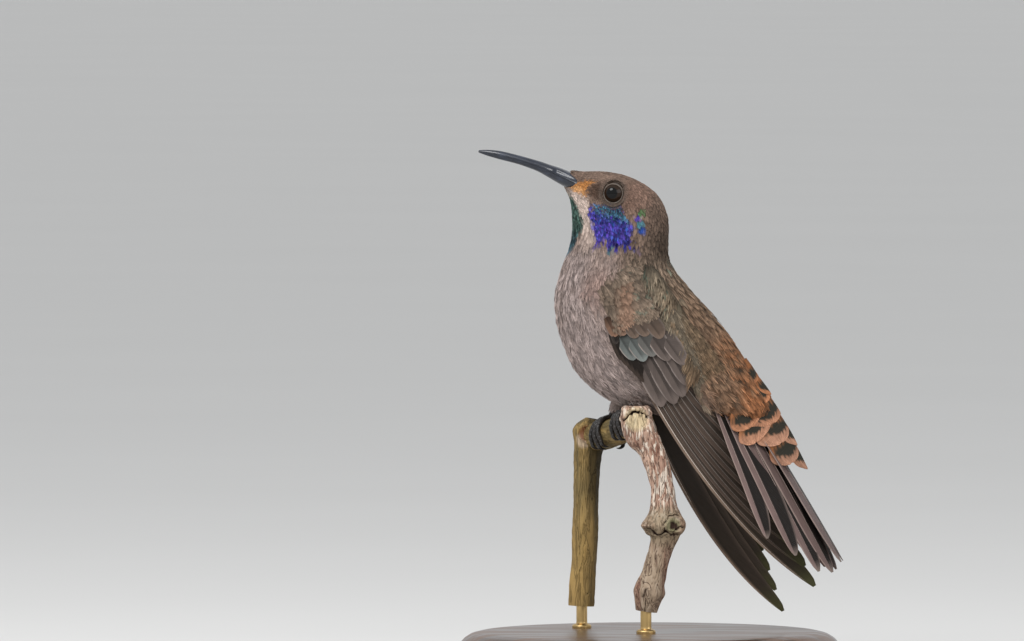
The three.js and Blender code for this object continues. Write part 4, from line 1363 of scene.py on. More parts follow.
class HummingbirdWings(bpy.types.PropertyGroup):
    vane_thickness: length("Vane thickness", 0.00009, "Thickness of the large feathers")
    primary_brown: colour("Primaries", (0.076, 0.053, 0.041), "Outer webs of the primaries")
    primary_dark: colour("Inner webs", (0.042, 0.031, 0.023), "Inner webs of the primaries")
    primary_edge: colour("Primaries' edges", (0.2, 0.145, 0.115), "Thin paler edges of the primaries")
    leading_web: colour("Leading web", (0.24, 0.17, 0.125), "Narrow outer web of the outermost primary")
    leading_shaft: colour("Leading shaft", (0.56, 0.48, 0.42), "Shaft of the outermost primary")
    # Painted light: the olive stands for light that shines through the thin tips.
    backlit_tip_olive: colour("Primary tips", (0.07, 0.068, 0.026), "Thin tips of the outer primaries")
    secondary_grey: colour("Secondaries", (0.125, 0.098, 0.086), "Secondaries and inner coverts")
    covert_teal: colour("Greater coverts", (0.155, 0.178, 0.17), "Outer greater coverts")
    fringe: colour("Fringes", (0.36, 0.3, 0.27), "Pale fringes of secondaries and coverts")


# Rows of large wing feathers: (s, t) at the root, (s, t) at the tip, and the width.
SECONDARIES = [
    ((8.0, -1.3), (24.6, -3.3), 4.5), ((8.3, 0.6), (25.6, -1.0), 4.2), ((8.6, 2.4), (25.4, 1.2), 4.0),
    ((9.0, 4.2), (24.0, 3.2), 3.8), ((9.3, 5.8), (20.9, 5.0), 3.2),
]
DEEP_COVERTS = [((5.0 + 0.6 * i, -2.8 + 0.1 * i), (12.5 + 1.5 * i, -4.5 + 0.26 * i), 2.0) for i in range(6)]
GREATER_COVERTS = [
    ((5.6, -2.2), (13.8, -2.4), 3.3), ((6.0, -0.6), (15.2, -0.8), 3.4), ((6.6, 1.3), (15.5, 1.4), 3.6),
    ((7.6, 3.3), (17.9, 3.2), 3.7), ((9.0, 5.2), (20.3, 5.1), 3.3),
]
MEDIAN_COVERTS = [
    ((3.6, -2.4), (7.9, -2.7), 2.7), ((4.1, -1.0), (8.7, -1.1), 2.9), ((4.7, 0.7), (10.5, 0.6), 3.2),
    ((5.5, 2.5), (11.4, 2.6), 3.4), ((6.4, 4.4), (13.4, 4.6), 3.2),
]
EDGE_COVERTS = [((5.0, -2.6), (10.4 - 1.2 * i, -3.9 + 0.4 * i), 1.3) for i in range(2)]
COVERT_TEAL = (1.0, 1.0, 0.5, 0.0, 0.0)


def web_colours(
    pattern, outer, inner, shaft, tip, tip_reach=0.15, fringe=None, glitter=0.0, root=0.6, edge=0.6
):
    """Colours of one large feather: two webs, a shaft, a tip and pale edges, with painted shade on its root
    and a painted shadow line beside the shaft where the next feather's edge falls.
    """
    a, b, _ = pattern["corners"].T
    tint = lerp(outer, inner, ramp(b, -0.06, 0.1)[:, None])
    # Painted shadow: a dark line just past the shaft, where the next feather's edge lies.
    tint = tint * (1 - 0.34 * hump(b - 0.06, 0.12))[:, None]
    # Painted shade: darker towards the root, which lies under other feathers.
    tint = tint * lerp(root, 1, ramp(a, 0.1, 0.85))[:, None]
    if fringe is not None:
        sides = ramp(np.abs(b), 0.8, 0.97) * np.where(b > 0, 0.45, 1)
        rim = np.maximum(sides, ramp(a, 0.955, 1.0))[:, None]
        tint = lerp(tint, fringe, rim * edge)
    tint = lerp(tint, tip, ramp(a, 1 - tip_reach, 1)[:, None])
    tint = np.where(pattern["shaft"][:, None], shaft, tint)
    return np.concatenate([tint, np.full((len(a), 1), glitter)], axis=1)


def vane_piece(name, pattern, vanes, material, nodes=()):
    """One closed piece of large feathers, from the corners and the colours of each."""
    shapes, tints = zip(*vanes)
    piece = assemble(name, pattern, np.stack(shapes), np.stack(tints))
    close_up(piece)
    return finish(piece, material, nodes)


def primary_corners(name, number, pattern):
    """One primary, counted from the outermost. Its front edge is a bowed curve from root to tip."""
    drop = lerp(4.4, 37, (number - 1) / (PRIMARY_COUNT - 2)) if number else 0
    root = np.array([2 + 0.8 * number, -1 + 0.62 * number])
    tip = np.array([WING_LENGTH - drop, 0.66 * number])
    reach = np.linalg.norm(tip - root)
    chord = (tip - root) / reach
    bow = np.array([chord[1], -chord[0]]) * reach * WINGS[name]["bow"]
    near_root, near_tip = root + chord * reach * 0.31 + bow * 0.08, root + chord * reach * 0.73 + bow * 0.105
    handles = [root, near_root, near_tip, tip]
    a, b, h = pattern["corners"].T
    u = np.clip(a, 0, 1)[:, None]
    edge = (
        handles[0] * (1 - u) ** 3 + handles[1] * 3 * u * (1 - u) ** 2
        + handles[2] * 3 * u ** 2 * (1 - u) + handles[3] * u ** 3
    )
    taper = rounded_end(a, 0.52, 0.485)
    width = np.maximum((4.6 + 0.12 * number) * np.minimum(1, 0.4 + 3 * a) * taper, 0.12)
    shaft_share = lerp(0.1, 0.24, number / (PRIMARY_COUNT - 1))
    shaft_t = edge[:, 1] + shaft_share * width
    t = shaft_t + np.where(b < 0, b * shaft_share, b * (1 - shaft_share)) * width
    low = lerp(-0.16 + 0.165 * number, -0.2 + 0.055 * number, ramp(a, 0.1, 0.9))
    tilt = np.where(b < 0, 0.06 * b, -0.16 * b)
    thick = settings("wings").vane_thickness / MM
    return wing_place(name, edge[:, 0], t, low + tilt + h * thick)


def flat_feather_corners(name, root, tip, width, height, pattern, curve=0.0):
    """A covert or secondary at a height over the feathered arm. Its root dips under the plumage."""
    a, b, h = pattern["corners"].T
    root, tip = np.array(root), np.array(tip)
    reach = np.linalg.norm(tip - root)
    chord = (tip - root) / reach
    across = np.array([-chord[1], chord[0]])
    half = np.maximum(width * (np.minimum(1, 0.45 + 1.6 * a) * rounded_end(a, 0.66, 0.345)), 0.1)
    shaft_share = 0.38
    offset = np.where(b < 0, b * shaft_share, b * (1 - shaft_share)) * half + curve * np.sin(pi * a)
    s, t = (root + chord * (a * reach)[:, None] + across * offset[:, None]).T
    thick = settings("wings").vane_thickness / MM
    dome = 0.13 * (1 - b * b) * np.minimum(1, 2 * (1 - a) + 0.2)
    dip = 0.9 * (1 - ramp(a, 0.1, 0.6))
    return wing_place(name, s, t, arm_lift(s, t) + height + dome - dip + h * thick)


def lay_primaries(name, quill, material, rng):
    wings = settings("wings")
    vanes = []
    for number in range(PRIMARY_COUNT):
        first, shade = number == 0, rng.uniform(0.85, 1.15)
        # The olive tips are painted light shining through them.
        vanes.append((primary_corners(name, number, quill), web_colours(
            quill, wings.leading_web if first else wings.primary_brown * shade, wings.primary_dark * shade,
            wings.leading_shaft * (1 if first else 0.3 * shade),
            wings.backlit_tip_olive * (1 if number < 3 else 0.55), 0.12, wings.primary_edge, 0.0, 0.6, 0.7,
        )))
    vane_piece(f"primaries_{name}", quill, vanes, material, [f"wing_{name}_primaries"])


def lay_coverts(name, quill, material, rng):
    """The secondaries and the large coverts of one wing, from the lowest layer up."""
    wings = settings("wings")
    grey, fringe, bend = wings.secondary_grey, wings.fringe, settings("plumage").covert_rufous
    vanes = []

    # inner darkens the inner web, which the next feather covers: painted shade. The last feather of a row
    # has nothing over it and stays lighter.
    def lay(feather, height, tone, edge, glitter=0.0, curve=0.0, inner=0.4):
        tone = tone * rng.uniform(0.88, 1.12)
        vanes.append((flat_feather_corners(name, *feather, height, quill, curve), web_colours(
            quill, tone, tone * inner, tone * 0.25, tone * 1.3, 0.2, edge, glitter, 0.4, 0.9,
        )))

    last = len(SECONDARIES) - 1
    for i, feather in enumerate(SECONDARIES):
        lay(feather, -0.55 + 0.11 * i, grey, fringe * 0.8, curve=0.5, inner=0.85 if i == last else 0.6)
    for i, feather in enumerate(DEEP_COVERTS):
        lay(feather, -0.3 - 0.05 * i, wings.primary_brown * 0.45, grey * 0.4)
    for i, (feather, teal) in enumerate(zip(GREATER_COVERTS, COVERT_TEAL)):
        shine = lerp(grey, wings.covert_teal, teal * 0.8)
        lay(feather, -0.2 + 0.1 * i, shine, fringe, 0.05 * teal, inner=0.85 if i == last else 0.65)
    for i, feather in enumerate(MEDIAN_COVERTS):
        tone = lerp(bend * 0.75, grey * (0.98, 0.88, 0.76), min(i / 2, 1))
        lay(feather, -0.12 + 0.08 * i, tone, fringe * 0.5, inner=0.75)
    for i, feather in enumerate(EDGE_COVERTS):
        lay(feather, -0.3 + 0.08 * i, grey * 0.35, grey * 0.6)
    vane_piece(f"wing_feathers_{name}", quill, vanes, material)


class HUMMINGBIRD_OT_wings(bpy.types.Operator):
    """Fold both wings: primaries, secondaries and the large coverts"""

    bl_idname = "hummingbird.wings"
    bl_label = "Wings"

    def execute(self, context):
        long_quill = quill_pattern(14, 44, 0.045)
        short_quill = quill_pattern(18, 22, 0.03)
        firm = quill_material("Flight feathers", 0.5, 0.16, 110.0, 0.15)
        softer = quill_material("Wing coverts", 0.6, 0.2, 46.0, 0.15)
        rng = np.random.default_rng(7)
        for name in SIDES:
            lay_primaries(name, long_quill, firm, rng)
            lay_coverts(name, short_quill, softer, rng)
        return {"FINISHED"}


# ---- Tail ------------------------------------------------------------------------------------


class HummingbirdTail(bpy.types.PropertyGroup):
    outer_web: colour("Outer webs", (0.165, 0.112, 0.102), "Purplish brown side that shows")
    # Painted shade: the near-black inner webs stand for the shadow in the gaps between tail feathers.
    shaded_inner_web: colour("Inner webs", (0.013, 0.01, 0.0085), "Dark side that mostly hides")
    shaft: colour("Shafts", (0.34, 0.26, 0.23), "Shafts of the tail feathers")
    edge: colour("Edges", (0.36, 0.27, 0.235), "Pale edges of the webs")
    tip: colour("Tips", (0.2, 0.155, 0.13), "Worn paler tips")
    covert_centre: colour("Covert centres", (0.022, 0.024, 0.019), "Dark centres of the large rump feathers")
    covert_fringe: colour("Covert fringes", (0.38, 0.2, 0.13), "Buff fringes of the large rump feathers")


# Left half, from the middle feather outwards: root, tip, widths of both webs, lean in degrees, shade.
TAIL_FEATHERS = [
    ((16.6, -1.4, 58.0), (38.6, -2.4, 22.2), 3.3, 2.6, 14, 0.72),
    ((16.0, -2.6, 57.4), (37.2, -6.0, 20.4), 2.4, 3.9, 32, 0.85),
    ((15.3, -3.7, 56.7), (34.8, -9.5, 20.8), 1.7, 3.9, 42, 0.95),
    ((14.4, -4.9, 55.9), (30.4, -12.5, 24.2), 1.35, 3.9, 48, 1.0),
    ((13.5, -6.0, 55.0), (24.9, -15.0, 27.8), 1.05, 3.4, 54, 1.1),
]

# Large rump feathers of the left half and the middle: how far down the rump the tip lies, how far
# to the side root and tip lie, length and width.
RUMP_FEATHERS = [
    (1.8, -1.0, -2.1, 5.0, 4.4), (3.6, -3.2, -4.8, 5.2, 4.6), (6.4, -1.6, -3.0, 6.0, 6.6),
    (8.6, -3.8, -6.0, 6.2, 4.8), (10.6, -1.5, -2.9, 6.8, 7.0), (12.4, -3.4, -5.6, 6.4, 4.8),
    (14.8, -1.5, -2.8, 7.2, 6.8), (19.0, -1.1, -2.5, 7.6, 5.8),
]
MIDDLE_RUMP_FEATHERS = [(5.0, 5.4, 4.0), (17.0, 6.4, 4.6), (21.6, 6.8, 4.4)]
RUMP_START = np.array([20.6, 0, 59.6])
RUMP_WAY = np.array([10.4, 0, -18.2]) / hypot(10.4, 18.2)
RUMP_LENGTH = hypot(10.4, 18.2)


def tail_corners(side, order, pattern):
    """One tail feather. The outer ones lie lower and lean more, so that the tail is a roof."""
    root, tip, outer, inner, lean, _ = TAIL_FEATHERS[order]
    root, tip = np.array(root), np.array(tip)
    shaft = unit(tip - root)
    lean = radians(lean)
    outward = -np.array([0, cos(lean), 0]) - TAIL_UP * sin(lean)
    outward = unit(outward - shaft * (outward @ shaft))
    up = np.cross(shaft, outward)
    up = up * np.sign(up @ TAIL_UP)
    a, b, h = pattern["corners"].T
    taper_from = np.where(b < 0, 0.7, 0.5)
    taper = rounded_end(a, taper_from, 1.003 - taper_from)
    full = np.minimum(1, 0.45 + 1.6 * a) * taper
    offset = np.where(b < 0, -b * outer, -b * inner) * np.maximum(full, 0.03)
    thick = settings("wings").vane_thickness / MM
    dip = 0.5 * ramp(b, 0.0, 1.0) - 0.12 * ramp(-b, 0, 1)
    rise = -0.24 * order - dip * full + 0.1 * (1 - b * b) * full + h * thick + 0.35 * np.sin(pi * a)
    corners = root + (tip - root) * a[:, None] + outward * offset[:, None] + up * rise[:, None]
    return corners * (1, -side, 1)


def rump_roof(down, aside, lift):
    """A place on the roof-shaped rump: down from its start, aside from the middle, lift outwards."""
    share = np.clip(down / RUMP_LENGTH, 0, 1.1)
    bulge = 0.6 * np.sin(pi * np.clip(share, 0, 1))
    drape = lerp(0.42, 0.5, share) * np.abs(aside) ** 1.5
    middle = RUMP_START + RUMP_WAY * down[:, None] + TAIL_UP * (bulge - drape + lift)[:, None]
    return middle + np.stack([np.zeros_like(aside), aside, np.zeros_like(aside)], axis=1)


def rump_feather_corners(tip_down, root_aside, tip_aside, long, wide, lift, pattern):
    a, b, h = pattern["corners"].T
    full = np.minimum(1, 0.5 + 1.4 * a) * rounded_end(a, 0.6, 0.405)
    aside = lerp(root_aside, tip_aside, a) + b * np.maximum(full, 0.03) * wide / 2
    ragged = 0.16 * np.sin(b * 23 + tip_down * 5) + 0.1 * np.sin(b * 41 + root_aside * 7)
    down = tip_down - long * (1 - a) + ragged * ramp(a, 0.75, 1)
    dome = 0.18 * (1 - b * b) * full
    return rump_roof(down, aside, lift + dome + lerp(-0.25, 0.12, a) + h * 0.09)


def rump_feather_colours(pattern, down, rng):
    """Dark centre, a rufous root and a fringe that is rufous high on the rump and buff low on it."""
    tail, rufous = settings("tail"), settings("plumage").rump_rufous
    a, b, _ = pattern["corners"].T
    shade, size, shift = rng.uniform(0.78, 1.02), rng.uniform(0.92, 1.06), rng.uniform(-0.1, 0.1)
    frayed = 0.07 * np.sin(b * 31 + 9 * shade) + 0.05 * np.sin(b * 57 + 5 * size)
    low_edge = 0.86 * size - 0.24 * np.abs(b - shift) ** 1.4 + 0.5 * frayed
    centre = ramp(low_edge - a, -0.02, 0.05) * ramp(a + frayed, 0.34, 0.5)
    centre = centre * (1 - ramp(np.abs(b - shift) + frayed, 0.72, 0.9))
    buff = lerp(rufous * (1.1, 1.15, 1.3), tail.covert_fringe, ramp(down, 4, 16))
    rim = ramp(a, 0.86, 1.0)[:, None]
    tint = lerp(rufous * 0.8, buff, ramp(a, 0.45, 0.8)[:, None]) * shade * (1 + 0.25 * rim)
    tint = tint * (1 + 0.16 * np.sin(b * 37 + 11 * shade) + 0.12 * np.sin(b * 71 + 3 * size))[:, None]
    tint = lerp(tint, tail.covert_centre, centre[:, None] * 0.97)
    return np.concatenate([tint, centre[:, None] * 0.2], axis=1)


def lay_tail_half(name, side, quill, material, rng):
    tail = settings("tail")
    vanes = []
    for order, (*_, shade) in enumerate(TAIL_FEATHERS):
        shade = rng.uniform(0.9, 1.1) * shade
        # The inner webs carry painted shade of the gaps between the feathers.
        vanes.append((tail_corners(side, order, quill), web_colours(
            quill, tail.outer_web * shade, tail.shaded_inner_web, tail.shaft, tail.tip,
            0.03, tail.edge, 0.1, 0.8, 0.75,
        )))
    vane_piece(f"tail_feathers_{name}", quill, vanes, material, [f"tail_{name}"])


def lay_rump_feathers(quill, rng):
    """The large dark-centred feathers over the tail's root, side by side and down the middle."""
    vanes = []

    def lay(down, root_aside, tip_aside, long, wide, lift):
        down, tip_aside = down + rng.uniform(-0.4, 0.4), tip_aside + rng.uniform(-0.25, 0.25)
        shape = rump_feather_corners(down, root_aside, tip_aside, long, wide, lift - 0.035 * down, quill)
        vanes.append((shape, rump_feather_colours(quill, down, rng)))

    for side in SIDES.values():
        for down, root_aside, tip_aside, long, wide in RUMP_FEATHERS:
            lay(down, -side * root_aside, -side * tip_aside, long, wide, 0.75)
    for down, long, wide in MIDDLE_RUMP_FEATHERS:
        lay(down, 0, 0, long, wide, 0.85)
    material = quill_material("Rump feathers", 0.65, 0.3, 34.0, 0.1)
    vane_piece("rump_feathers", quill, vanes, material)


class HUMMINGBIRD_OT_tail(bpy.types.Operator):
    """Make the ten tail feathers and the large dark-centred feathers that cover their roots"""

    bl_idname = "hummingbird.tail"
    bl_label = "Tail"

    def execute(self, context):
        rng = np.random.default_rng(9)
        quill = quill_pattern(20, 34, 0.04)
        sheen = quill_material("Tail feathers", 0.42, 0.16, 80.0, 0.12)
        for name, side in SIDES.items():
            lay_tail_half(name, side, quill, sheen, rng)
        lay_rump_feathers(quill_pattern(26, 26, 0.02), rng)
        return {"FINISHED"}


# ---- Eyes and bill ---------------------------------------------------------------------------


class HummingbirdFace(bpy.types.PropertyGroup):
    pupil: colour("Pupil", (0.004, 0.004, 0.004), "Middle of the eye")
    iris: colour("Iris", (0.022, 0.012, 0.007), "Dark brown ring round the pupil")
    lid: colour("Lids", (0.085, 0.063, 0.05), "Bare beaded skin round the eye")
    lid_rim: colour("Lower lid's rim", (0.36, 0.31, 0.27), "Pale edge of the lower lid")
    bill: colour("Bill", (0.013, 0.016, 0.026), "Black horn")
    # Painted sheen: this bluish grey stands for the glossy bill's reflection, laid in noisy patches.
    bill_sheen: colour("Bill's worn horn", (0.036, 0.045, 0.07), "Greyer horn along the ridge and the edges")


# From the root inside the head to the tip: place (x, z), height of both halves and half their width.
BILL_STATIONS = [
    (-12.4, 96.6, 1.2, 1.2, 4.4), (-14.4, 97.6, 1.35, 1.45, 3.5), (-16.2, 98.4, 1.45, 1.75, 2.65),
    (-18.2, 99.25, 1.4, 1.55, 2.0), (-20.2, 100.1, 1.2, 1.25, 1.5), (-22.4, 101.0, 1.03, 1.0, 1.2),
    (-26, 102.15, 0.9, 0.85, 0.95), (-30, 103.15, 0.85, 0.8, 0.72), (-32.6, 103.65, 0.6, 0.55, 0.5),
    (-34.3, 103.95, 0.22, 0.22, 0.25),
]
BILL_LEAN = unit(np.array([0.28, 0, 0.96]))
NOSTRIL = [(-18.6, 99.9), (-14.2, 98.1)]


def segment_distance(points, start, end):
    start, end = np.array(start, float), np.array(end, float)
    way = end - start
    share = np.clip(((points - start) @ way) / (way @ way), 0, 1)
    return np.linalg.norm(points - start - share[:, None] * way, axis=1)


def bill_half(name, half):
    """One half of the bill: a rounded back over a flat, closed at both ends."""
    stations = smooth_rows(BILL_STATIONS)
    rings = 90
    is_upper = half > 0
    back_turn = 0.72

    def place(u, v):
        ends = closing_rows(v, rings + 2)
        share = np.clip((v * (rings + 2) - 1) / rings, 0, 1)
        x, z, upper, lower, wide = stations(share).T
        wide = wide * (1 if is_upper else 0.88)
        high = upper if is_upper else lower
        angle = pi * np.clip(u / back_turn, 0, 1)
        rounded = u < back_turn
        flat = np.clip((u - back_turn) / (1 - back_turn), 0, 1)
        aside = np.where(rounded, np.cos(angle) * wide, lerp(-wide, wide, flat))
        rise = np.where(rounded, np.sin(angle) ** (0.82 if is_upper else 1.0) * high, 0) + 0.012
        if is_upper:
            edge = 0.16 * hump(rise, 0.24) * np.clip(wide / 1.6, 0, 1)
            aside = aside + np.where(rounded, np.sign(aside) * edge, 0)
        points = np.stack([x, aside * np.where(ends, 0, 1), z], axis=1)
        points = points + BILL_LEAN * (half * np.where(ends, high * 0.3, rise))[:, None]
        if is_upper:
            groove = segment_distance(points[:, [0, 2]], *NOSTRIL)
            dent = 0.3 * hump(groove, 0.42) * np.where(rounded, np.abs(np.cos(angle)), 0)
            points[:, 1] -= np.sign(points[:, 1]) * dent
        return points

    return shaped_grid(name, 36, rings + 2, place)


def horn_material(name, dark, light, roughness, gloss):
    """Smooth horn with fine lengthwise growth lines and greyer patches of the light colour: on the bill a
    painted bluish sheen, on feet and claws their paler horn and skin.
    """
    material, tree, shader = new_material(
        name, Coat_Weight=gloss, Coat_Roughness=0.14, Specular_IOR_Level=0.25
    )
    lines, uneven = grained(tree, 1500.0, (0.12, 1.0, 0.8)), mottled(tree, 420.0, 0.4)
    # Noisy patches of the light colour: painted sheen on the bill, paler horn and skin on feet and claws.
    wear_and_sheen = maths(tree, "MULTIPLY", lines["Streak"], spread(tree, uneven["Height"], 0.35, 0.7))
    feed(
        tree, shader, Base_Color=blend(tree, wear_and_sheen, dark, light),
        Roughness=spread(tree, uneven["Height"], 0.3, 0.7, roughness - 0.06, roughness + 0.12),
    )
    add_relief(tree, shader, lines["Height"], 0.03, 0.35)
    return material


def eye_material():
    """Dark brown iris, black pupil and a wet clear coat, by distance from the eye's own middle."""
    face = settings("face")
    material, tree, shader = new_material(
        "Eye", Coat_Weight=1.0, Coat_Roughness=0.015, Roughness=0.4, Specular_IOR_Level=0.0, Coat_IOR=1.3,
    )
    iris = tinted(tree, face.iris, mottled(tree, 3200.0, 0.5)["Shade"])
    edge = spread(tree, stored(tree, "Pupil")["Fac"], 0.5, 0.62)
    feed(tree, shader, Base_Color=blend(tree, edge, face.pupil, iris))
    return material


def lid_material():
    """Bare grey skin in small beads with a paler rim below."""
    face = settings("face")
    material, tree, shader = new_material("Eyelids", Specular_IOR_Level=0.12)
    beads = mottled(tree, 1900.0, 1.1)
    skin = tinted(tree, face.lid, beads["Shade"])
    feed(
        tree, shader, Base_Color=blend(tree, stored(tree, "Rim")["Fac"], skin, face.lid_rim),
        Roughness=spread(tree, beads["Height"], 0.3, 0.7, 0.42, 0.62),
    )
    add_relief(tree, shader, beads["Height"], 0.06, 0.6)
    return material


def make_eyeball(name, side, centre, material):
    """A ball with its pole outwards, where the clear front bulges a little."""
    bpy.ops.object.select_all(action="DESELECT")
    bpy.ops.mesh.primitive_uv_sphere_add(segments=64, ring_count=40, radius=MM)
    ball = bpy.context.object
    ball.name = ball.data.name = f"eyeball_{name}"
    around = places(ball)
    from_pole = np.arccos(np.clip(around[:, 2], -1, 1))
    bulge = 0.12 * (1 - ramp(from_pole, 0.25, 0.8))
    outward = unit(np.array([-0.1, side, 0.04]))
    ahead = unit(np.cross((0, 0, 1), outward))
    above = np.cross(outward, ahead)
    turned = around[:, [0]] * ahead + around[:, [1]] * above + around[:, [2]] * outward
    move_to(ball, centre + turned * (EYE["radius"] + bulge - 0.06)[:, None])
    store_value(ball, "Pupil", from_pole / 0.9)
    finish(ball, material, [f"eye_{name}"], angle=80)


def make_lids(name, side, centre, head, material):
    """A beaded ring of skin from the eyeball out to the head, closed behind."""

    def head_level(angle):
        x, z = centre[0] + cos(angle) * 3.12, centre[2] + sin(angle) * 3.12
        return abs(head.ray_cast(Vector((x, side * 12, z)), Vector((0, -side, 0)))[0].y)

    def place(u, v):
        angle = u * 2 * pi
        outer_side = v < 0.62
        w = np.where(outer_side, v / 0.62, 1 - (v - 0.62) / 0.38)
        reach = lerp(1.76, 2.62, w)
        x = centre[0] + np.cos(angle) * reach
        z = centre[2] + np.sin(angle) * reach * lerp(1.0, 1.03, w)
        rim = np.array([head_level(turn) for turn in angle])
        on_ball = abs(centre[1]) + np.sqrt(EYE["radius"] ** 2 - np.minimum(reach, 2.2) ** 2)
        level = lerp(on_ball, rim - 0.05, ramp(w, 0.12, 0.85))
        lid = 0.13 * hump(w - 0.16, 0.11)
        beads = 0.07 * np.sin(angle * 34 + 3 * np.sin(w * 9)) * np.sin(w * 3.6 * pi) ** 2
        below = -0.14 - 0.5 * np.sin(pi * w)
        return np.stack([x, side * np.where(outer_side, level + lid + beads, level + below), z], axis=1)

    ring = shaped_grid(f"eyelids_{name}", 150, 48, place)
    corners = places(ring)
    on_rim = 1 - ramp(np.abs(eye_distance(corners) - 1.92), 0.03, 0.14)
    lower = lerp(0.25, 0.9, ramp(EYE["z"] - corners[:, 2], -0.6, 0.9))
    store_value(ring, "Rim", on_rim * lower * (0.75 + 0.5 * waviness(corners, 0.5, 4)))
    finish(ring, material, angle=80)


class HUMMINGBIRD_OT_eyes(bpy.types.Operator):
    """Make both eyes and the beaded skin of the lids round them"""

    bl_idname = "hummingbird.eyes"
    bl_label = "Eyes"

    def execute(self, context):
        wet, lids = eye_material(), lid_material()
        head = hidden_by(["head"])
        for name, side in SIDES.items():
            low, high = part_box(f"eye_{name}")
            centre = np.array((low + high) / 2) / MM
            make_eyeball(name, side, centre, wet)
            make_lids(name, side, centre, head, lids)
        return {"FINISHED"}


class HUMMINGBIRD_OT_bill(bpy.types.Operator):
    """Make both halves of the bill with the nostril grooves"""

    bl_idname = "hummingbird.bill"
    bl_label = "Bill"

    def execute(self, context):
        face = settings("face")
        horn = horn_material("Bill horn", face.bill, face.bill_sheen, 0.3, 0.55)
        finish(bill_half("bill_upper_half", 1), horn, ["bill_upper"], angle=60)
        finish(bill_half("bill_lower_half", -1), horn, ["bill_lower"], angle=60)
        return {"FINISHED"}


# ---- Twig and feet ---------------------------------------------------------------------------


class HummingbirdTwig(bpy.types.PropertyGroup):
    bark_pale: colour("Pale bark", (0.56, 0.385, 0.29), "Pinkish bark of the front stem")
    bark_flake: colour("Bark flakes", (0.76, 0.67, 0.56), "Whitish flakes on the front stem")
    bark_streak: colour("Bark streaks", (0.25, 0.125, 0.085), "Red-brown streaks between the flakes")
    bark_low: colour("Lower bark", (0.36, 0.27, 0.19), "Duller bark of the front stem's foot")
    bark_knuckle: colour("Knuckle", (0.27, 0.215, 0.14), "Grey-brown bark of the front stem's knuckle")
    torn_wood: colour("Torn wood", (0.62, 0.5, 0.3), "Yellowish wood in the front stem's torn top")
    bark_olive: colour("Olive bark", (0.13, 0.098, 0.042), "Bark of the cross piece and the rear stem")
    bark_yellow: colour("Yellow bark", (0.36, 0.235, 0.085), "Lighter places of the olive bark")
    wood_scar: colour("Bud scar", (0.24, 0.22, 0.12), "Bare wood of the front stem's bud scar")
    cut_scar: colour("Cut scar", (0.2, 0.07, 0.032), "Red-brown cut on the rear stem's knob")
    cut_lip: colour("Cut's lip", (0.5, 0.38, 0.27), "Pale lip below the cut")
    foot_black: colour("Feet", (0.014, 0.012, 0.011), "Scutes of toes and shanks")
    foot_skin: colour("Foot skin", (0.04, 0.032, 0.028), "Skin between the scutes")


# Centre lines with radii (x, y, z, radius).
FRONT_STEM = [
    (-2.1, -8.7, 53.5, 2.2), (-2.1, -8.7, 53.1, 2.9), (-2.1, -8.7, 52.0, 3.05), (-1.9, -8.75, 50.4, 3.2),
    (-1.4, -8.8, 48.8, 3.35), (-0.7, -8.9, 47.4, 3.25), (0.3, -8.95, 46.0, 2.8), (1.3, -9, 44.2, 2.5),
    (2.1, -9, 42, 2.45), (2.7, -9, 39.7, 2.36), (3.2, -9, 37.5, 2.3), (3.4, -9, 35.2, 2.45),
    (3.5, -9, 33, 2.85), (3.6, -9, 31.3, 3.6), (3.7, -9, 29.7, 4.3), (3.6, -9, 28.2, 3.6),
    (3.5, -9, 27, 2.8), (3.0, -9, 25.2, 2.4), (2.6, -9, 23.5, 2.35), (2.0, -9, 21.5, 2.35),
    (1.5, -9, 19.5, 2.5), (1.0, -9, 18.0, 2.8),
    (0.6, -9, 16.4, 3.15), (0.3, -9, 14.6, 2.6), (0, -9, 12.5, 2.1),
]
REAR_STEM = [
    (-11.9, 10.4, 50, 1.7), (-12.1, 10.4, 48.9, 2.7), (-12.4, 10.4, 47.4, 3.2), (-12.8, 10.35, 45.2, 3.05),
    (-13.2, 10.3, 43, 2.85), (-13.4, 10.25, 40, 2.65), (-13.5, 10.2, 37, 2.6), (-13.6, 10.1, 33, 2.5),
    (-13.7, 10.1, 29, 2.65), (-13.8, 10, 25, 2.6), (-14, 10, 21, 2.5), (-14.3, 9.95, 17, 2.65),
    (-14.5, 9.9, 12.5, 2.6),
]
CROSS_PIECE = [
    (-12.4, 10.4, 46.6, 2.7), (-10.9, 8.0, 46.7, 2.85), (-9.4, 5.5, 46.9, 2.85), (-7.7, 2.7, 47.5, 2.8),
    (-6, 0, 48.2, 2.85), (-4.6, -2.2, 48.9, 2.85), (-3.2, -4.5, 49.6, 2.85), (-0.8, -8.8, 50.3, 2.7),
]
KNUCKLE = np.array([3.7, -10.0, 29.7])
BUD_SCAR = np.array([5.9, -13.2, 29.8])
TORN_WOOD = np.array([-1.7, -11.6, 50.9])
CUT_SCAR = np.array([-13.2, 7.3, 47.2])
CUT_LIP = np.array([-13.9, 7.8, 45.9])
RIM_MIDDLE = (-1.9, 52.45)


def bark_relief(depth, cracks, seed, extra=None):
    """Long ridges and cracks that run with the twig."""

    def relief(angle, share, points):
        along = np.stack([np.cos(angle) * 2.4, np.sin(angle) * 2.4, share * 9], axis=1)
        long_waves = waviness(along, 0.9, seed)
        ridges = np.abs(waviness(along * (3.2, 3.2, 0.8), 1.0, seed + 1))
        flakes = waviness(points, 1.3, seed + 2)
        height = depth * (0.8 * long_waves + 0.6 * flakes) - cracks * hump(ridges, 0.06)
        if extra is not None:
            height = height + extra(angle, share, points)
        return height

    return relief


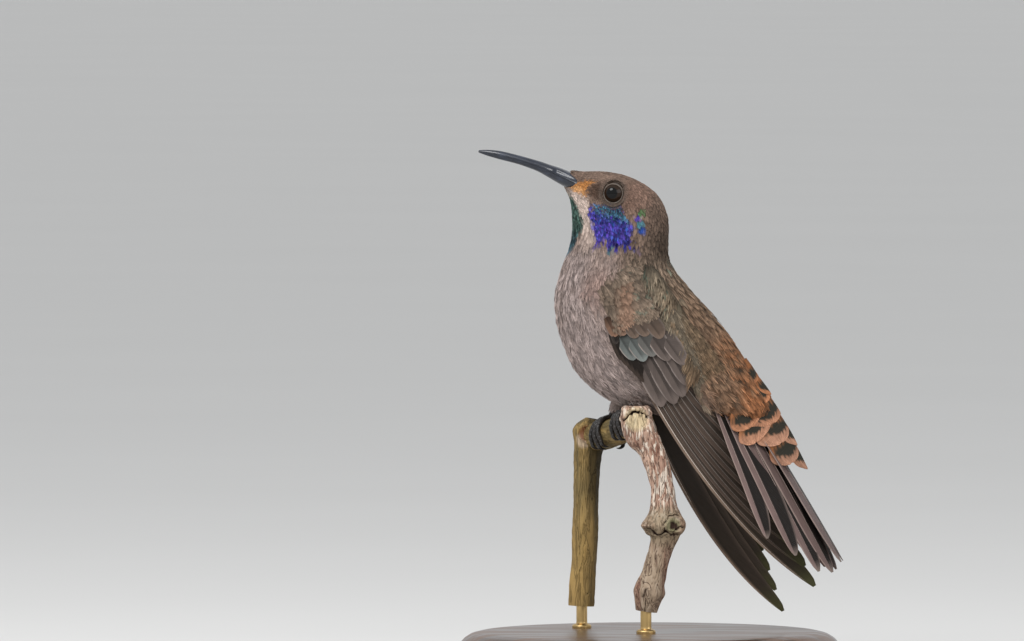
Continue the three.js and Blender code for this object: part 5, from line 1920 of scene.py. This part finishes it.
def front_stem_shape(angle, share, points):
    """The broken rim at the top, the hollow below it, the bud scar and the knuckles' cracks."""
    x, y, z = points.T
    side_in = ramp(-y, 9.2, 11)
    from_middle = np.abs(x - RIM_MIDDLE[0])
    torn = waviness(points, 0.8, 8)
    fall = np.where(x < RIM_MIDDLE[0], 0.42, 0.25)
    arch = RIM_MIDDLE[1] - fall * from_middle ** 1.5 + 0.4 * torn
    hollow = hump(z - arch, 0.24) * side_in * -1.1
    hollow = hollow * (1 - ramp(from_middle, 2.7, 3.2)) * (1 - 0.75 * ramp(torn, 0.1, 0.35))
    splinters = 0.3 * np.abs(waviness(points * (3.0, 1.0, 0.6), 0.8, 12)) * ramp(z, 49.6, 51) * side_in
    hollow = hollow - splinters * (z < arch)
    rim = 0.28 * hump(z - arch - 0.75, 0.35) + 0.12 * np.sin(angle * 5 + 1) * ramp(z, 51.5, 52.3)
    away = np.hypot(x - BUD_SCAR[0], z - BUD_SCAR[2]) + 0.45 * waviness(points, 0.9, 9)
    scar = side_in * (0.45 * hump(away - 1.45, 0.35) - 0.7 * (1 - ramp(away, 0.3, 1.1)))
    scar = scar - side_in * 0.5 * hump(away - 1.95, 0.16)
    crack_at = 28.0 + 0.28 * np.abs(x - 3.2) + 0.3 * np.sin(x * 1.9) + 0.5 * torn
    crack = side_in * -0.75 * hump(z - crack_at, 0.2)
    lobes = 0.7 * hump(z - 29.6, 1.2) * hump(x - 0.2, 1.0)
    lower = -0.35 * hump(x - 0.1, 0.5) * hump(z - 16.2, 1.6) * side_in
    return hollow + rim + scar + crack + lobes + lower


def rear_stem_shape(angle, share, points):
    """The cut scar on the knob's front."""
    x, y, z = points.T
    facing = ramp(10.4 - y, 0.4, 1.6)
    away = np.hypot((x - CUT_SCAR[0]) / 1.2, (z - CUT_SCAR[2]) / 1.65)
    knob = 0.7 * hump(z - 47.6, 1.8) * ramp(-x, 12.5, 14.5)
    return knob + facing * (0.3 * hump(away - 1, 0.2) - 0.55 * (1 - ramp(away, 0.5, 0.95)))


def bark_material(name, main, streak, low, scale, stretch, scars=(), soft_cracks_shaded_side=False, flake=None):
    """Flaky bark: streaks and fissures along the twig, painted shade in its sunk places, a duller foot and
    scars. On the rear stem the fissures are fainter, and painted shade, partly darker bark, runs down its +X
    side.

    Each scar is a place, a size and a colour."""
    material, tree, shader = new_material(name, Specular_IOR_Level=0.2)
    where = object_places(tree)
    x, _, z = add_node(tree, "ShaderNodeSeparateXYZ", Vector=where).outputs
    fibre, bands = grained(tree, scale, stretch), grained(tree, scale * 0.36, stretch)
    above = blend(tree, spread(tree, z, 0.026, 0.034), low, main)
    base = blend(tree, bands["Streak"], streak, above)
    bark = blend(tree, maths(tree, "MULTIPLY", fibre["Streak"], 0.6), base, above)
    # Painted shade down the rear stem's +X side, partly darker bark, stronger higher up.
    if soft_cracks_shaded_side:
        on_side = spread(tree, x, -0.0139, -0.0124, 0.0, 0.85)
        high_up = spread(tree, z, 0.028, 0.037, 0.25, 1.0)
        bark = blend(tree, maths(tree, "MULTIPLY", on_side, high_up), bark, streak * 0.3)
    if flake is not None:
        chips = spread(tree, grained(tree, scale * 1.25, (1.0, 1.0, 0.26))["Streak"], 0.62, 0.82, 0.0, 0.75)
        chipped = maths(tree, "MULTIPLY", chips, spread(tree, z, 0.028, 0.034, 0.12, 1.0))
        bark = blend(tree, chipped, bark, flake)
    fissure = spread(tree, fibre["Flake"], 0.0, 1.0, 0.75 if soft_cracks_shaded_side else 0.3, 1.0)
    bark = blend(tree, fissure, streak * 0.4, bark)
    for scar_at, scar_size, scar_colour in scars:
        apart = add_node(tree, "ShaderNodeVectorMath", {"operation": "DISTANCE"})
        connect(tree, apart.inputs[0], where)
        connect(tree, apart.inputs[1], np.array(scar_at) * MM)
        near = spread(tree, apart.outputs["Value"], scar_size * 0.55 * MM, scar_size * MM, 0.8, 0.0)
        bark = blend(tree, near, bark, scar_colour)
    # Painted shade: sunk places of the relief, such as cracks, hollows and cuts, darken.
    raised = spread(tree, stored(tree, "Relief")["Fac"], -0.55, -0.08)
    bark = blend(tree, raised, streak * 0.16, bark)
    feed(
        tree, shader, Base_Color=tinted(tree, bark, mottled(tree, 330.0, 0.3)["Shade"]),
        Roughness=spread(tree, fibre["Streak"], 0.0, 1.0, 0.62, 0.85),
    )
    add_relief(tree, shader, fibre["Height"], 0.4, 0.9)
    return material


class HUMMINGBIRD_OT_twig(bpy.types.Operator):
    """Grow the two stems and the cross piece with their knuckles, cracks and scars"""

    bl_idname = "hummingbird.twig"
    bl_label = "Twig"

    def execute(self, context):
        twig = settings("twig")
        pale = bark_material(
            "Pale bark", twig.bark_pale, twig.bark_streak, twig.bark_low, 900.0, (1.0, 1.0, 0.16),
            (
                (KNUCKLE, 5.2, twig.bark_knuckle), (BUD_SCAR, 2.2, twig.wood_scar),
                (TORN_WOOD, 3.0, twig.torn_wood),
            ),
            flake=twig.bark_flake,
        )
        olive = bark_material(
            "Olive bark", twig.bark_yellow, twig.bark_olive, twig.bark_yellow, 700.0, (1.0, 1.0, 0.14),
            ((CUT_LIP, 2.0, twig.cut_lip), (CUT_SCAR, 2.0, twig.cut_scar)), soft_cracks_shaded_side=True,
        )
        cross = bark_material(
            "Cross piece bark", twig.bark_olive, twig.bark_yellow, twig.bark_olive, 700.0, (0.5, 0.25, 1.0)
        )
        flaky = bark_relief(0.19, 0.24, 1, front_stem_shape)
        front = tube("front_stem", smooth_rows(FRONT_STEM), 300, 96, flaky)
        cracked = bark_relief(0.14, 0.05, 2, rear_stem_shape)
        rear = tube("rear_stem", smooth_rows(REAR_STEM), 220, 80, cracked)
        uneven = bark_relief(0.1, 0.15, 3)
        middle = tube("cross_piece", smooth_rows(CROSS_PIECE), 150, 80, uneven, start=(1, 0, 0))
        for piece, bark in ((front, pale), (rear, olive), (middle, cross)):
            finish(piece, bark, [f"perch_{piece.name}"], angle=60)
        return {"FINISHED"}


# For each toe: where it starts and ends round the twig in degrees, and how far it spreads.
TOES = [(-4, 116, -1.15), (-4, 128, 0), (-4, 120, 1.15), (4, -112, 0.1)]
TOE_RADIUS = 0.44
# For each ring of a claw: degrees past the toe's end, distance over the toe's middle, radius.
CLAW = [(6, 0.12, 0.32), (13, 0.22, 0.4), (22, 0.2, 0.3), (31, 0.0, 0.17), (39, -0.3, 0.05)]


def foot_frame(side):
    """The foot's place on the cross piece and its directions: along the twig, forward and up."""
    share = 0.71 if side < 0 else 0.33
    seats = smooth_rows([CROSS_PIECE[i] for i in (0, 2, 4, 6, 7)])
    centre = seats(share)
    ahead = seats(share + 0.02)
    axis = unit(ahead[:3] - centre[:3])
    forward = np.array([-1.0, 0, 0])
    forward = unit(forward - axis * (forward @ axis))
    up = np.cross(axis, forward)
    return centre, axis, forward, up * np.sign(up[2])


def scutes(bands, depth):
    """Overlapping plates across the upper side of a toe."""

    def relief(angle, share, points):
        step = (share * bands) % 1
        return depth * (1 - step) ** 1.5 - depth * 0.9 * hump(np.minimum(step, 1 - step), 0.1)

    return relief


def make_toe(name, number, around, seat):
    """A toe that wraps round the twig and its hooked claw. around(degrees, distance, shift) is a place."""
    start, end, spread_out = TOES[number]
    turn = 1 if end > start else -1
    rows = []
    for w in np.linspace(0, 1, 9):
        joints = 0.05 * sin(w * 3 * pi) ** 2
        thick = TOE_RADIUS * (1 - 0.12 * w) + joints
        rows.append((*around(lerp(start, end, w), seat, spread_out * (0.45 + 1.15 * w)), thick))
    rows.append((*around(end + turn * 7, seat + 0.1, spread_out * 1.6), TOE_RADIUS * 0.86))
    rows.append((*around(end + turn * 12, seat + 0.12, spread_out * 1.62), TOE_RADIUS * 0.6))
    hook = [
        (*around(end + turn * past, seat + over, spread_out * 1.62), thick) for past, over, thick in CLAW
    ]
    toe = tube(f"toe_{name}_{number}", smooth_rows(rows), 110, 20, scutes(11, 0.1))
    return toe, tube(f"claw_{name}_{number}", smooth_rows(hook), 26, 14)


def make_shank(name, x, y, z, foot):
    """The shank from the foot up into the belly. x, y and z are the top of the twig."""
    return tube(f"shank_{name}", smooth_rows([
        (*foot, 0.62), (x + 0.6, y, z + 1.4, 0.55), (x + 1.2, y, z + 2.4, 0.58),
        (x + 2.1, y * 1.02, z + 3.6, 0.75), (x + 3, y * 1.05, z + 5, 1.0),
    ]), 60, 20, scutes(8, 0.06))


def lay_leg_tuft(name, seat):
    """Soft feathers that hang round the shank from the belly to the toes."""
    rng = np.random.default_rng(settings("plumage").seed + 3)
    count = 150
    angle = rng.uniform(0, 2 * pi, count)
    out = np.stack([np.cos(angle), np.sin(angle), np.zeros(count)], axis=1)
    reach = rng.uniform(0.3, 0.95, count)[:, None]
    start = seat + (2.6, 0.04 * seat[1], 4.6) + out * reach + rng.uniform(-0.6, 0.6, (count, 3))
    end = seat + (1.1, 0, 1.7) + out * (reach * 1.05) + rng.uniform(-0.4, 0.5, (count, 3))
    middle = (start + end) / 2 + out * 0.45
    sizes = np.linalg.norm(end - start, axis=1), rng.uniform(1.3, 1.8, count)
    path, ups = (start, middle, end), (out, out)
    feather_piece(f"leg_tuft_{name}", path, ups, sizes, start, plume_kind("breast"), rng)


class HUMMINGBIRD_OT_feet(bpy.types.Operator):
    """Close both feet round the cross piece, with scutes, curved claws and tufts on the shanks"""

    bl_idname = "hummingbird.feet"
    bl_label = "Feet"

    def execute(self, context):
        twig = settings("twig")
        scaly = horn_material("Foot horn", twig.foot_black, twig.foot_skin, 0.42, 0.15)
        claw_horn = horn_material("Claw horn", twig.foot_black, twig.foot_black * 1.6, 0.3, 0.4)
        for name, side in SIDES.items():
            centre, axis, forward, up = foot_frame(side)

            def around(degrees, distance, shift):
                turned = forward * sin(radians(degrees)) + up * cos(radians(degrees))
                return centre[:3] + axis * shift + turned * distance

            seat = centre[3] + 0.5
            x, y, z = centre[:3] + (0, 0, centre[3])
            toes, claws = zip(*(make_toe(name, number, around, seat) for number in range(len(TOES))))
            shank = make_shank(name, x, y, z, around(0, seat - 0.1, 0))
            finish(join(f"toes_{name}", [*toes, shank]), scaly, [f"foot_{name}"], angle=60)
            lay_leg_tuft(name, np.array([x, y, z]))
            finish(join(f"claws_{name}", claws), claw_horn, angle=70)
        return {"FINISHED"}


# ---- Stand -----------------------------------------------------------------------------------


class HummingbirdStand(bpy.types.PropertyGroup):
    wood_dark: colour("Base", (0.045, 0.022, 0.012), "Dark polished wood")
    wood_light: colour("Base's grain", (0.12, 0.062, 0.034), "Lighter grain")
    brass: colour("Rods", (0.56, 0.39, 0.17), "Dull brass")


# Profile of the turned base from its middle below to its middle above (distance, height).
BASE_PROFILE = [
    (0, 0), (20, 0), (38.6, 0), (39.5, 0.25), (40, 0.9), (40, 3.0), (39.7, 3.5), (38.9, 3.8), (38.4, 4.1),
    (38.3, 4.7), (37.9, 5.7), (37.0, 6.7), (35.7, 7.5), (34, 7.9), (32.5, 8.0), (20, 8.0), (0, 8.0),
]
RODS = {"front": (0.0, -9.0), "rear": (-14.4, 9.9)}
# Height and radius of a rod and of the collar at its foot.
ROD_PROFILE = np.array([
    (4, 1.1), (7.9, 1.1), (7.95, 1.9), (8.5, 1.95), (8.8, 1.7), (9.0, 1.15), (9.3, 1.1), (12.6, 1.1),
    (15.8, 1.1), (16.5, 0.9),
])


def wood_material(stand):
    """Dark polished wood with a long grain."""
    material, tree, shader = new_material("Dark wood", Coat_Weight=0.35, Coat_Roughness=0.25)
    lines = grained(tree, 320.0, (0.14, 1.0, 1.0))
    wood = blend(tree, lines["Streak"], stand.wood_dark, stand.wood_light)
    feed(
        tree, shader, Base_Color=tinted(tree, wood, mottled(tree, 60.0, 0.3)["Shade"]),
        Roughness=spread(tree, lines["Streak"], 0.0, 1.0, 0.3, 0.46),
    )
    add_relief(tree, shader, lines["Height"], 0.04, 0.4)
    return material


def brass_material(stand):
    """Dull brass with fine lengthwise scratches."""
    material, tree, shader = new_material("Dull brass", Metallic=1.0)
    scratches = grained(tree, 2400.0, (1.0, 1.0, 0.05))
    feed(
        tree, shader, Base_Color=tinted(tree, stand.brass, mottled(tree, 500.0, 0.25)["Shade"]),
        Roughness=spread(tree, scratches["Streak"], 0.0, 1.0, 0.28, 0.42),
    )
    add_relief(tree, shader, scratches["Height"], 0.02, 0.3)
    return material


class HUMMINGBIRD_OT_display_stand(bpy.types.Operator):
    """Turn the wooden base and set the two brass rods"""

    bl_idname = "hummingbird.display_stand"
    bl_label = "Display stand"

    def execute(self, context):
        stand = settings("stand")
        reaches, heights = np.array(BASE_PROFILE).T
        steps = np.hypot(np.diff(reaches), np.diff(heights)) ** 0.5
        run = np.concatenate([[0], np.cumsum(steps)])

        def place(u, v):
            angle = 2 * pi * u
            reach, height = np.interp(v, run / run[-1], reaches), np.interp(v, run / run[-1], heights)
            return np.stack([np.cos(angle) * reach, np.sin(angle) * reach, height], axis=1)

        base = shaped_grid("turned_base", 160, 96, place)
        finish(base, wood_material(stand), ["stand_base"], angle=30)

        metal = brass_material(stand)
        levels, radii = ROD_PROFILE.T
        for name, (x, y) in RODS.items():

            def path(share):
                height = lerp(levels[0], levels[-1], share)
                same = np.ones_like(height)
                return np.stack([same * x, same * y, height, np.interp(height, levels, radii)], axis=1)

            rod = tube(f"{name}_rod", path, 160, 40)
            finish(rod, metal, [f"stand_rod_{name}"], angle=35)
        return {"FINISHED"}


# ---- Stage -----------------------------------------------------------------------------------


class HummingbirdStage(bpy.types.PropertyGroup):
    floor_colour: colour("Floor", (0.66, 0.655, 0.645), "The plain pale floor")
    key_light: amount("Key light", 6.0, "Power of the soft main light", min=0, unit="POWER")
    fill_light: amount("Fill light", 1.4, "Power of the weak side light", min=0, unit="POWER")
    sky: amount("Sky", 0.74, "Strength of the even light from all round", min=0)
    camera_turn: amount(
        "Camera turn", radians(5), "How far behind the bird's left side the camera stands", subtype="ANGLE"
    )
    camera_rise: amount(
        "Camera rise", radians(2), "How far above the level the camera stands", subtype="ANGLE"
    )
    camera_distance: length("Camera distance", 2.9, "From the camera to the bird")
    frame_width: length("Frame width", 0.2048, "What the view takes in at the bird")


def stand_back(thing, target, turn, rise, distance):
    """Sets a light or a camera at a distance from its target, which it looks at."""
    back = Vector((sin(turn) * cos(rise), -cos(turn) * cos(rise), sin(rise)))
    thing.location = target + back * distance
    thing.rotation_mode = "QUATERNION"
    thing.rotation_quaternion = back.to_track_quat("Z", "Y")


def soft_light(name, power, size, turn, rise, target):
    """A round area light that looks at the target."""
    bpy.ops.object.light_add(type="AREA")
    light = bpy.context.object
    light.name = name
    light.data.shape = "DISK"
    light.data.size = size
    light.data.energy = power
    stand_back(light, target, radians(turn), radians(rise), 0.9)


def lay_floor(stage):
    bpy.ops.object.select_all(action="DESELECT")
    bpy.ops.mesh.primitive_circle_add(vertices=96, radius=30, fill_type="NGON", location=(0, 0, 0))
    floor = bpy.context.object
    floor.name = "floor"
    material, tree, shader = new_material("Pale floor", Roughness=0.9, Specular_IOR_Level=0.2)
    feed(tree, shader, Base_Color=tinted(tree, stage.floor_colour, mottled(tree, 6.0, 0.02)["Shade"]))
    floor.data.materials.append(material)


def even_sky(stage):
    """Even light from all round. A low camera that looks past the floor sees the far floor's colour."""
    world = bpy.data.worlds.new("Even sky")
    world.use_nodes = True
    tree = world.node_tree
    sky_tint = (0.97, 0.985, 1.0)
    background = feed(tree, tree.nodes["Background"], Color=sky_tint, Strength=stage.sky)
    beyond = add_node(
        tree, "ShaderNodeBackground", Color=stage.floor_colour * sky_tint, Strength=stage.sky
    )
    camera_sees = tree.nodes.new("ShaderNodeLightPath").outputs["Is Camera Ray"]
    mixed = add_node(tree, "ShaderNodeMixShader", Fac=camera_sees)
    tree.links.new(background.outputs[0], mixed.inputs[1])
    tree.links.new(beyond.outputs[0], mixed.inputs[2])
    tree.links.new(mixed.outputs[0], tree.nodes["World Output"].inputs["Surface"])
    bpy.context.scene.world = world


def set_camera(stage):
    # The view's middle lies well in front of the bird, a little under its shoulders.
    target = Vector((-0.0276, 0, 0.0701))
    data = bpy.data.cameras.new("camera")
    camera = bpy.data.objects.new("camera", data)
    bpy.context.scene.collection.objects.link(camera)
    stand_back(camera, target, stage.camera_turn, stage.camera_rise, stage.camera_distance)
    data.sensor_width = 36
    data.lens = data.sensor_width * stage.camera_distance / stage.frame_width
    data.clip_end = 100
    bpy.context.scene.camera = camera
    bpy.context.scene.view_settings.view_transform = "Standard"


class HUMMINGBIRD_OT_stage(bpy.types.Operator):
    """Set the plain floor, the soft lights and the camera"""

    bl_idname = "hummingbird.stage"
    bl_label = "Stage"

    def execute(self, context):
        stage = settings("stage")
        lay_floor(stage)
        even_sky(stage)
        eye_low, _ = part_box("eye_left")
        _, tail_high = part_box("tail_left")
        middle = Vector((0.005, 0, (eye_low.z + tail_high.z) / 2))
        soft_light("key_light", stage.key_light, 0.5, -28, 46, middle)
        soft_light("fill_light", stage.fill_light, 0.6, 65, 20, middle)
        set_camera(stage)
        return {"FINISHED"}


# ---- Panel and order of work -----------------------------------------------------------------


class HUMMINGBIRD_PT_panel(bpy.types.Panel):
    """Lists the steps that make the hummingbird"""

    bl_label = "Hummingbird"
    bl_idname = "HUMMINGBIRD_PT_panel"
    bl_space_type = "VIEW_3D"
    bl_region_type = "UI"
    bl_category = "Hummingbird"

    def draw(self, context):
        for step in STEPS:
            self.layout.operator(step.bl_idname)
        for name, group in SETTINGS.items():
            box = self.layout.box()
            box.label(text=name.title())
            values = getattr(context.scene, "hummingbird_" + name)
            for key in group.__annotations__:
                box.prop(values, key)


SETTINGS = {
    "plumage": HummingbirdPlumage,
    "face": HummingbirdFace,
    "wings": HummingbirdWings,
    "tail": HummingbirdTail,
    "twig": HummingbirdTwig,
    "stand": HummingbirdStand,
    "stage": HummingbirdStage,
}
STEPS = (
    HUMMINGBIRD_OT_skin,
    HUMMINGBIRD_OT_eyes,
    HUMMINGBIRD_OT_bill,
    HUMMINGBIRD_OT_wings,
    HUMMINGBIRD_OT_tail,
    HUMMINGBIRD_OT_small_feathers,
    HUMMINGBIRD_OT_side_plumes,
    HUMMINGBIRD_OT_feet,
    HUMMINGBIRD_OT_twig,
    HUMMINGBIRD_OT_display_stand,
    HUMMINGBIRD_OT_stage,
)


def register():
    for group in SETTINGS.values():
        bpy.utils.register_class(group)
    for name, group in SETTINGS.items():
        setattr(bpy.types.Scene, "hummingbird_" + name, PointerProperty(type=group))
    for step in STEPS:
        bpy.utils.register_class(step)
    bpy.utils.register_class(HUMMINGBIRD_PT_panel)


def unregister():
    bpy.utils.unregister_class(HUMMINGBIRD_PT_panel)
    for step in reversed(STEPS):
        bpy.utils.unregister_class(step)
    for name, group in SETTINGS.items():
        delattr(bpy.types.Scene, "hummingbird_" + name)
        bpy.utils.unregister_class(group)


def main():
    """Makes every piece in order."""
    register()
    for step in STEPS:
        area, _, name = step.bl_idname.partition(".")
        getattr(getattr(bpy.ops, area), name)()
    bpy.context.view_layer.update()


if __name__ == "__main__":
    main()
